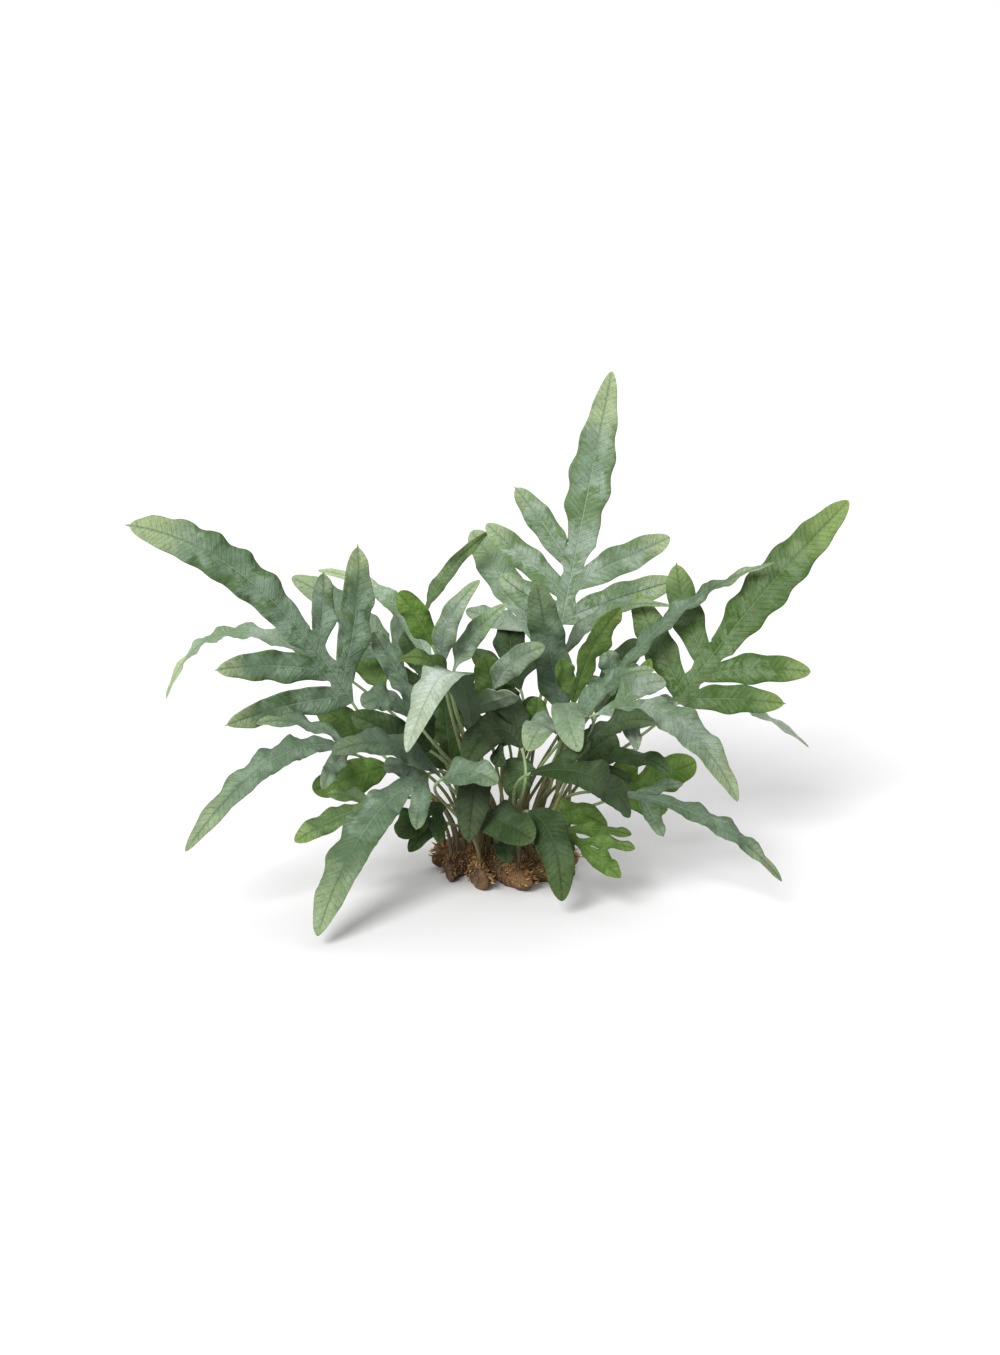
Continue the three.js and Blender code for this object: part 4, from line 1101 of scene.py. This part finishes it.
def arm_scale(arm, chance):
    """A scale that lies along an arm or on its round end."""
    distance = chance.uniform(4, ARM_RINGS[-1] + TIP_REACH)
    turn = math.radians(chance.uniform(-15, 195))
    spread = chance.normal(0, 0.45)
    length = chance.uniform(3.5, 7.5)
    lift = math.radians(chance.uniform(4, 38))
    beyond = max(0.0, distance - ARM_RINGS[-1]) / TIP_REACH
    radius = arm_radius(arm, distance) * math.sqrt(max(0.0, 1 - (0.8 * beyond) ** 2))
    base = arm_point(arm, min(distance, ARM_RINGS[-1]), radius * math.cos(turn),
                     ARM_HEIGHT + radius * math.sin(turn))
    if beyond > 0:
        base = base + (arm_tip(arm) - arm_point(arm, ARM_RINGS[-1], 0, ARM_HEIGHT)) * beyond * 0.8
    ahead = arm_point(arm, distance + 1, 0, 0) - arm_point(arm, distance, 0, 0)
    across = np.array([-ahead[1], ahead[0], 0])
    aside = across * math.sin(turn) - np.array([0, 0, math.cos(turn)])
    outward = across * math.cos(turn) + np.array([0, 0, math.sin(turn)])
    return scale(base, ahead + spread * aside, outward, length, lift)


def foot_scale(plan, order, chance):
    """One of the scales that stand round the foot of a stem."""
    turn = 2 * math.pi * (order + chance.uniform(0, 0.6)) / SCALES_PER_FOOT
    away = np.array([math.cos(turn), math.sin(turn), 0])
    base = foot_point(plan["foot"]) + away * chance.uniform(1.6, 2.6) + [0, 0, chance.uniform(2.5, 4.5)]
    return scale(base, np.array([0, 0, 1.0]) + 0.2 * away, away, chance.uniform(3, 6.5),
                 math.radians(chance.uniform(0, 30)))


def add_scales():
    """Chaffy scales, each a thin flake of eight faces that is widest near its middle."""
    chance = np.random.default_rng(SCALE_SEED)
    rows = [arm_scale(arm, chance) for arm in range(ARM_COUNT) for _ in range(SCALES_PER_ARM)]
    rows += [foot_scale(plan, order, chance) for plan in FRONDS for order in range(SCALES_PER_FOOT)]
    base, forward, outward, length = (np.array(column) for column in zip(*rows))
    length = length[:, None]
    side = np.cross(outward, forward) * (length * SCALE_WIDTH / 2)
    corners = [
        base,
        base + forward * length * 0.4 + side,
        base + forward * length + outward * length * 0.08,
        base + forward * length * 0.4 - side,
        base + forward * length * 0.45 + outward * 0.35,
        base + forward * length * 0.45 - outward * 0.1,
    ]
    points = np.stack(corners, axis=1)
    points[..., 2] = np.maximum(points[..., 2], LOWEST_SCALE)
    surface = Surface()
    grid = surface.add(points)
    colour = chance.uniform(0, 1, len(base))
    across = np.array([0, 1, 0, 1, 0, 0])
    along = np.array([0, 0.4, 1, 0.4, 0.45, 0.45])
    marks = marks_of(colour[:, None], across[None, :], along[None, :], 0, 0, 0)
    for a, b in ((0, 1), (1, 2), (2, 3), (3, 0)):
        for corner in ([a, b, 4], [b, a, 5]):
            surface.face(grid[:, corner], marks[:, corner], UPPER)
    piece = mesh_piece("rootstock_scales", surface, [scale_material()], {"scale": slice(0, 3)})
    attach(piece, "root")


def add_camera():
    elevation = math.radians(CAMERA_ELEVATION)
    back = Vector((0, -math.cos(elevation), math.sin(elevation)))
    data = bpy.data.cameras.new("camera")
    data.lens = SENSOR_SIZE * FOCAL_LENGTH_PX / IMAGE_HEIGHT_PX
    data.sensor_width = SENSOR_SIZE
    data.clip_start = 0.05
    data.clip_end = 400
    camera = bpy.data.objects.new("camera", data)
    camera.location = (Vector(CAMERA_TARGET) + back * CAMERA_DISTANCE) * MM
    camera.rotation_euler = back.to_track_quat("Z", "Y").to_euler()
    bpy.context.scene.collection.objects.link(camera)
    bpy.context.scene.camera = camera


def add_floor():
    bpy.ops.mesh.primitive_plane_add(size=FLOOR_SIDE_M, location=(0, 0, 0))
    floor = bpy.context.object
    floor.name = "floor"
    g = Nodes("pale_floor")
    g.skin(linear(FLOOR_COLOUR), 1.0)
    g.fill(g.shader, {"Specular IOR Level": 0.0})
    floor.data.materials.append(g.material)


def add_light(name, towards, softness, strength):
    """A far, wide lamp that shines evenly on the whole floor, from a direction."""
    data = bpy.data.lights.new(name, "SUN")
    data.angle = math.radians(softness)
    data.energy = strength
    light = bpy.data.objects.new(name, data)
    light.location = Vector(towards).normalized() * 3
    light.rotation_euler = Vector(towards).to_track_quat("Z", "Y").to_euler()
    bpy.context.scene.collection.objects.link(light)


def add_studio():
    """White light from all round and two soft lamps. The camera sees the backdrop a little brighter."""
    scene = bpy.context.scene
    scene.view_settings.view_transform = "Standard"
    world = bpy.data.worlds.new("studio")
    world.use_nodes = True
    tree = world.node_tree
    sky = tree.nodes["Background"]
    sky.inputs["Color"].default_value = (1, 1, 1, 1)
    seen = tree.nodes.new("ShaderNodeLightPath")
    strength = tree.nodes.new("ShaderNodeMapRange")
    strength.inputs["To Min"].default_value = WORLD_STRENGTH
    strength.inputs["To Max"].default_value = BACKDROP_STRENGTH
    tree.links.new(seen.outputs["Is Camera Ray"], strength.inputs["Value"])
    tree.links.new(strength.outputs[0], sky.inputs["Strength"])
    scene.world = world
    add_light("key", (-0.45, -0.95, 0.75), 26, 5.1)
    add_light("back", (0.45, 0.8, 0.9), 50, 1.2)


add_camera()
add_studio()
add_floor()
add_fronds()
add_rhizome()
add_scales()
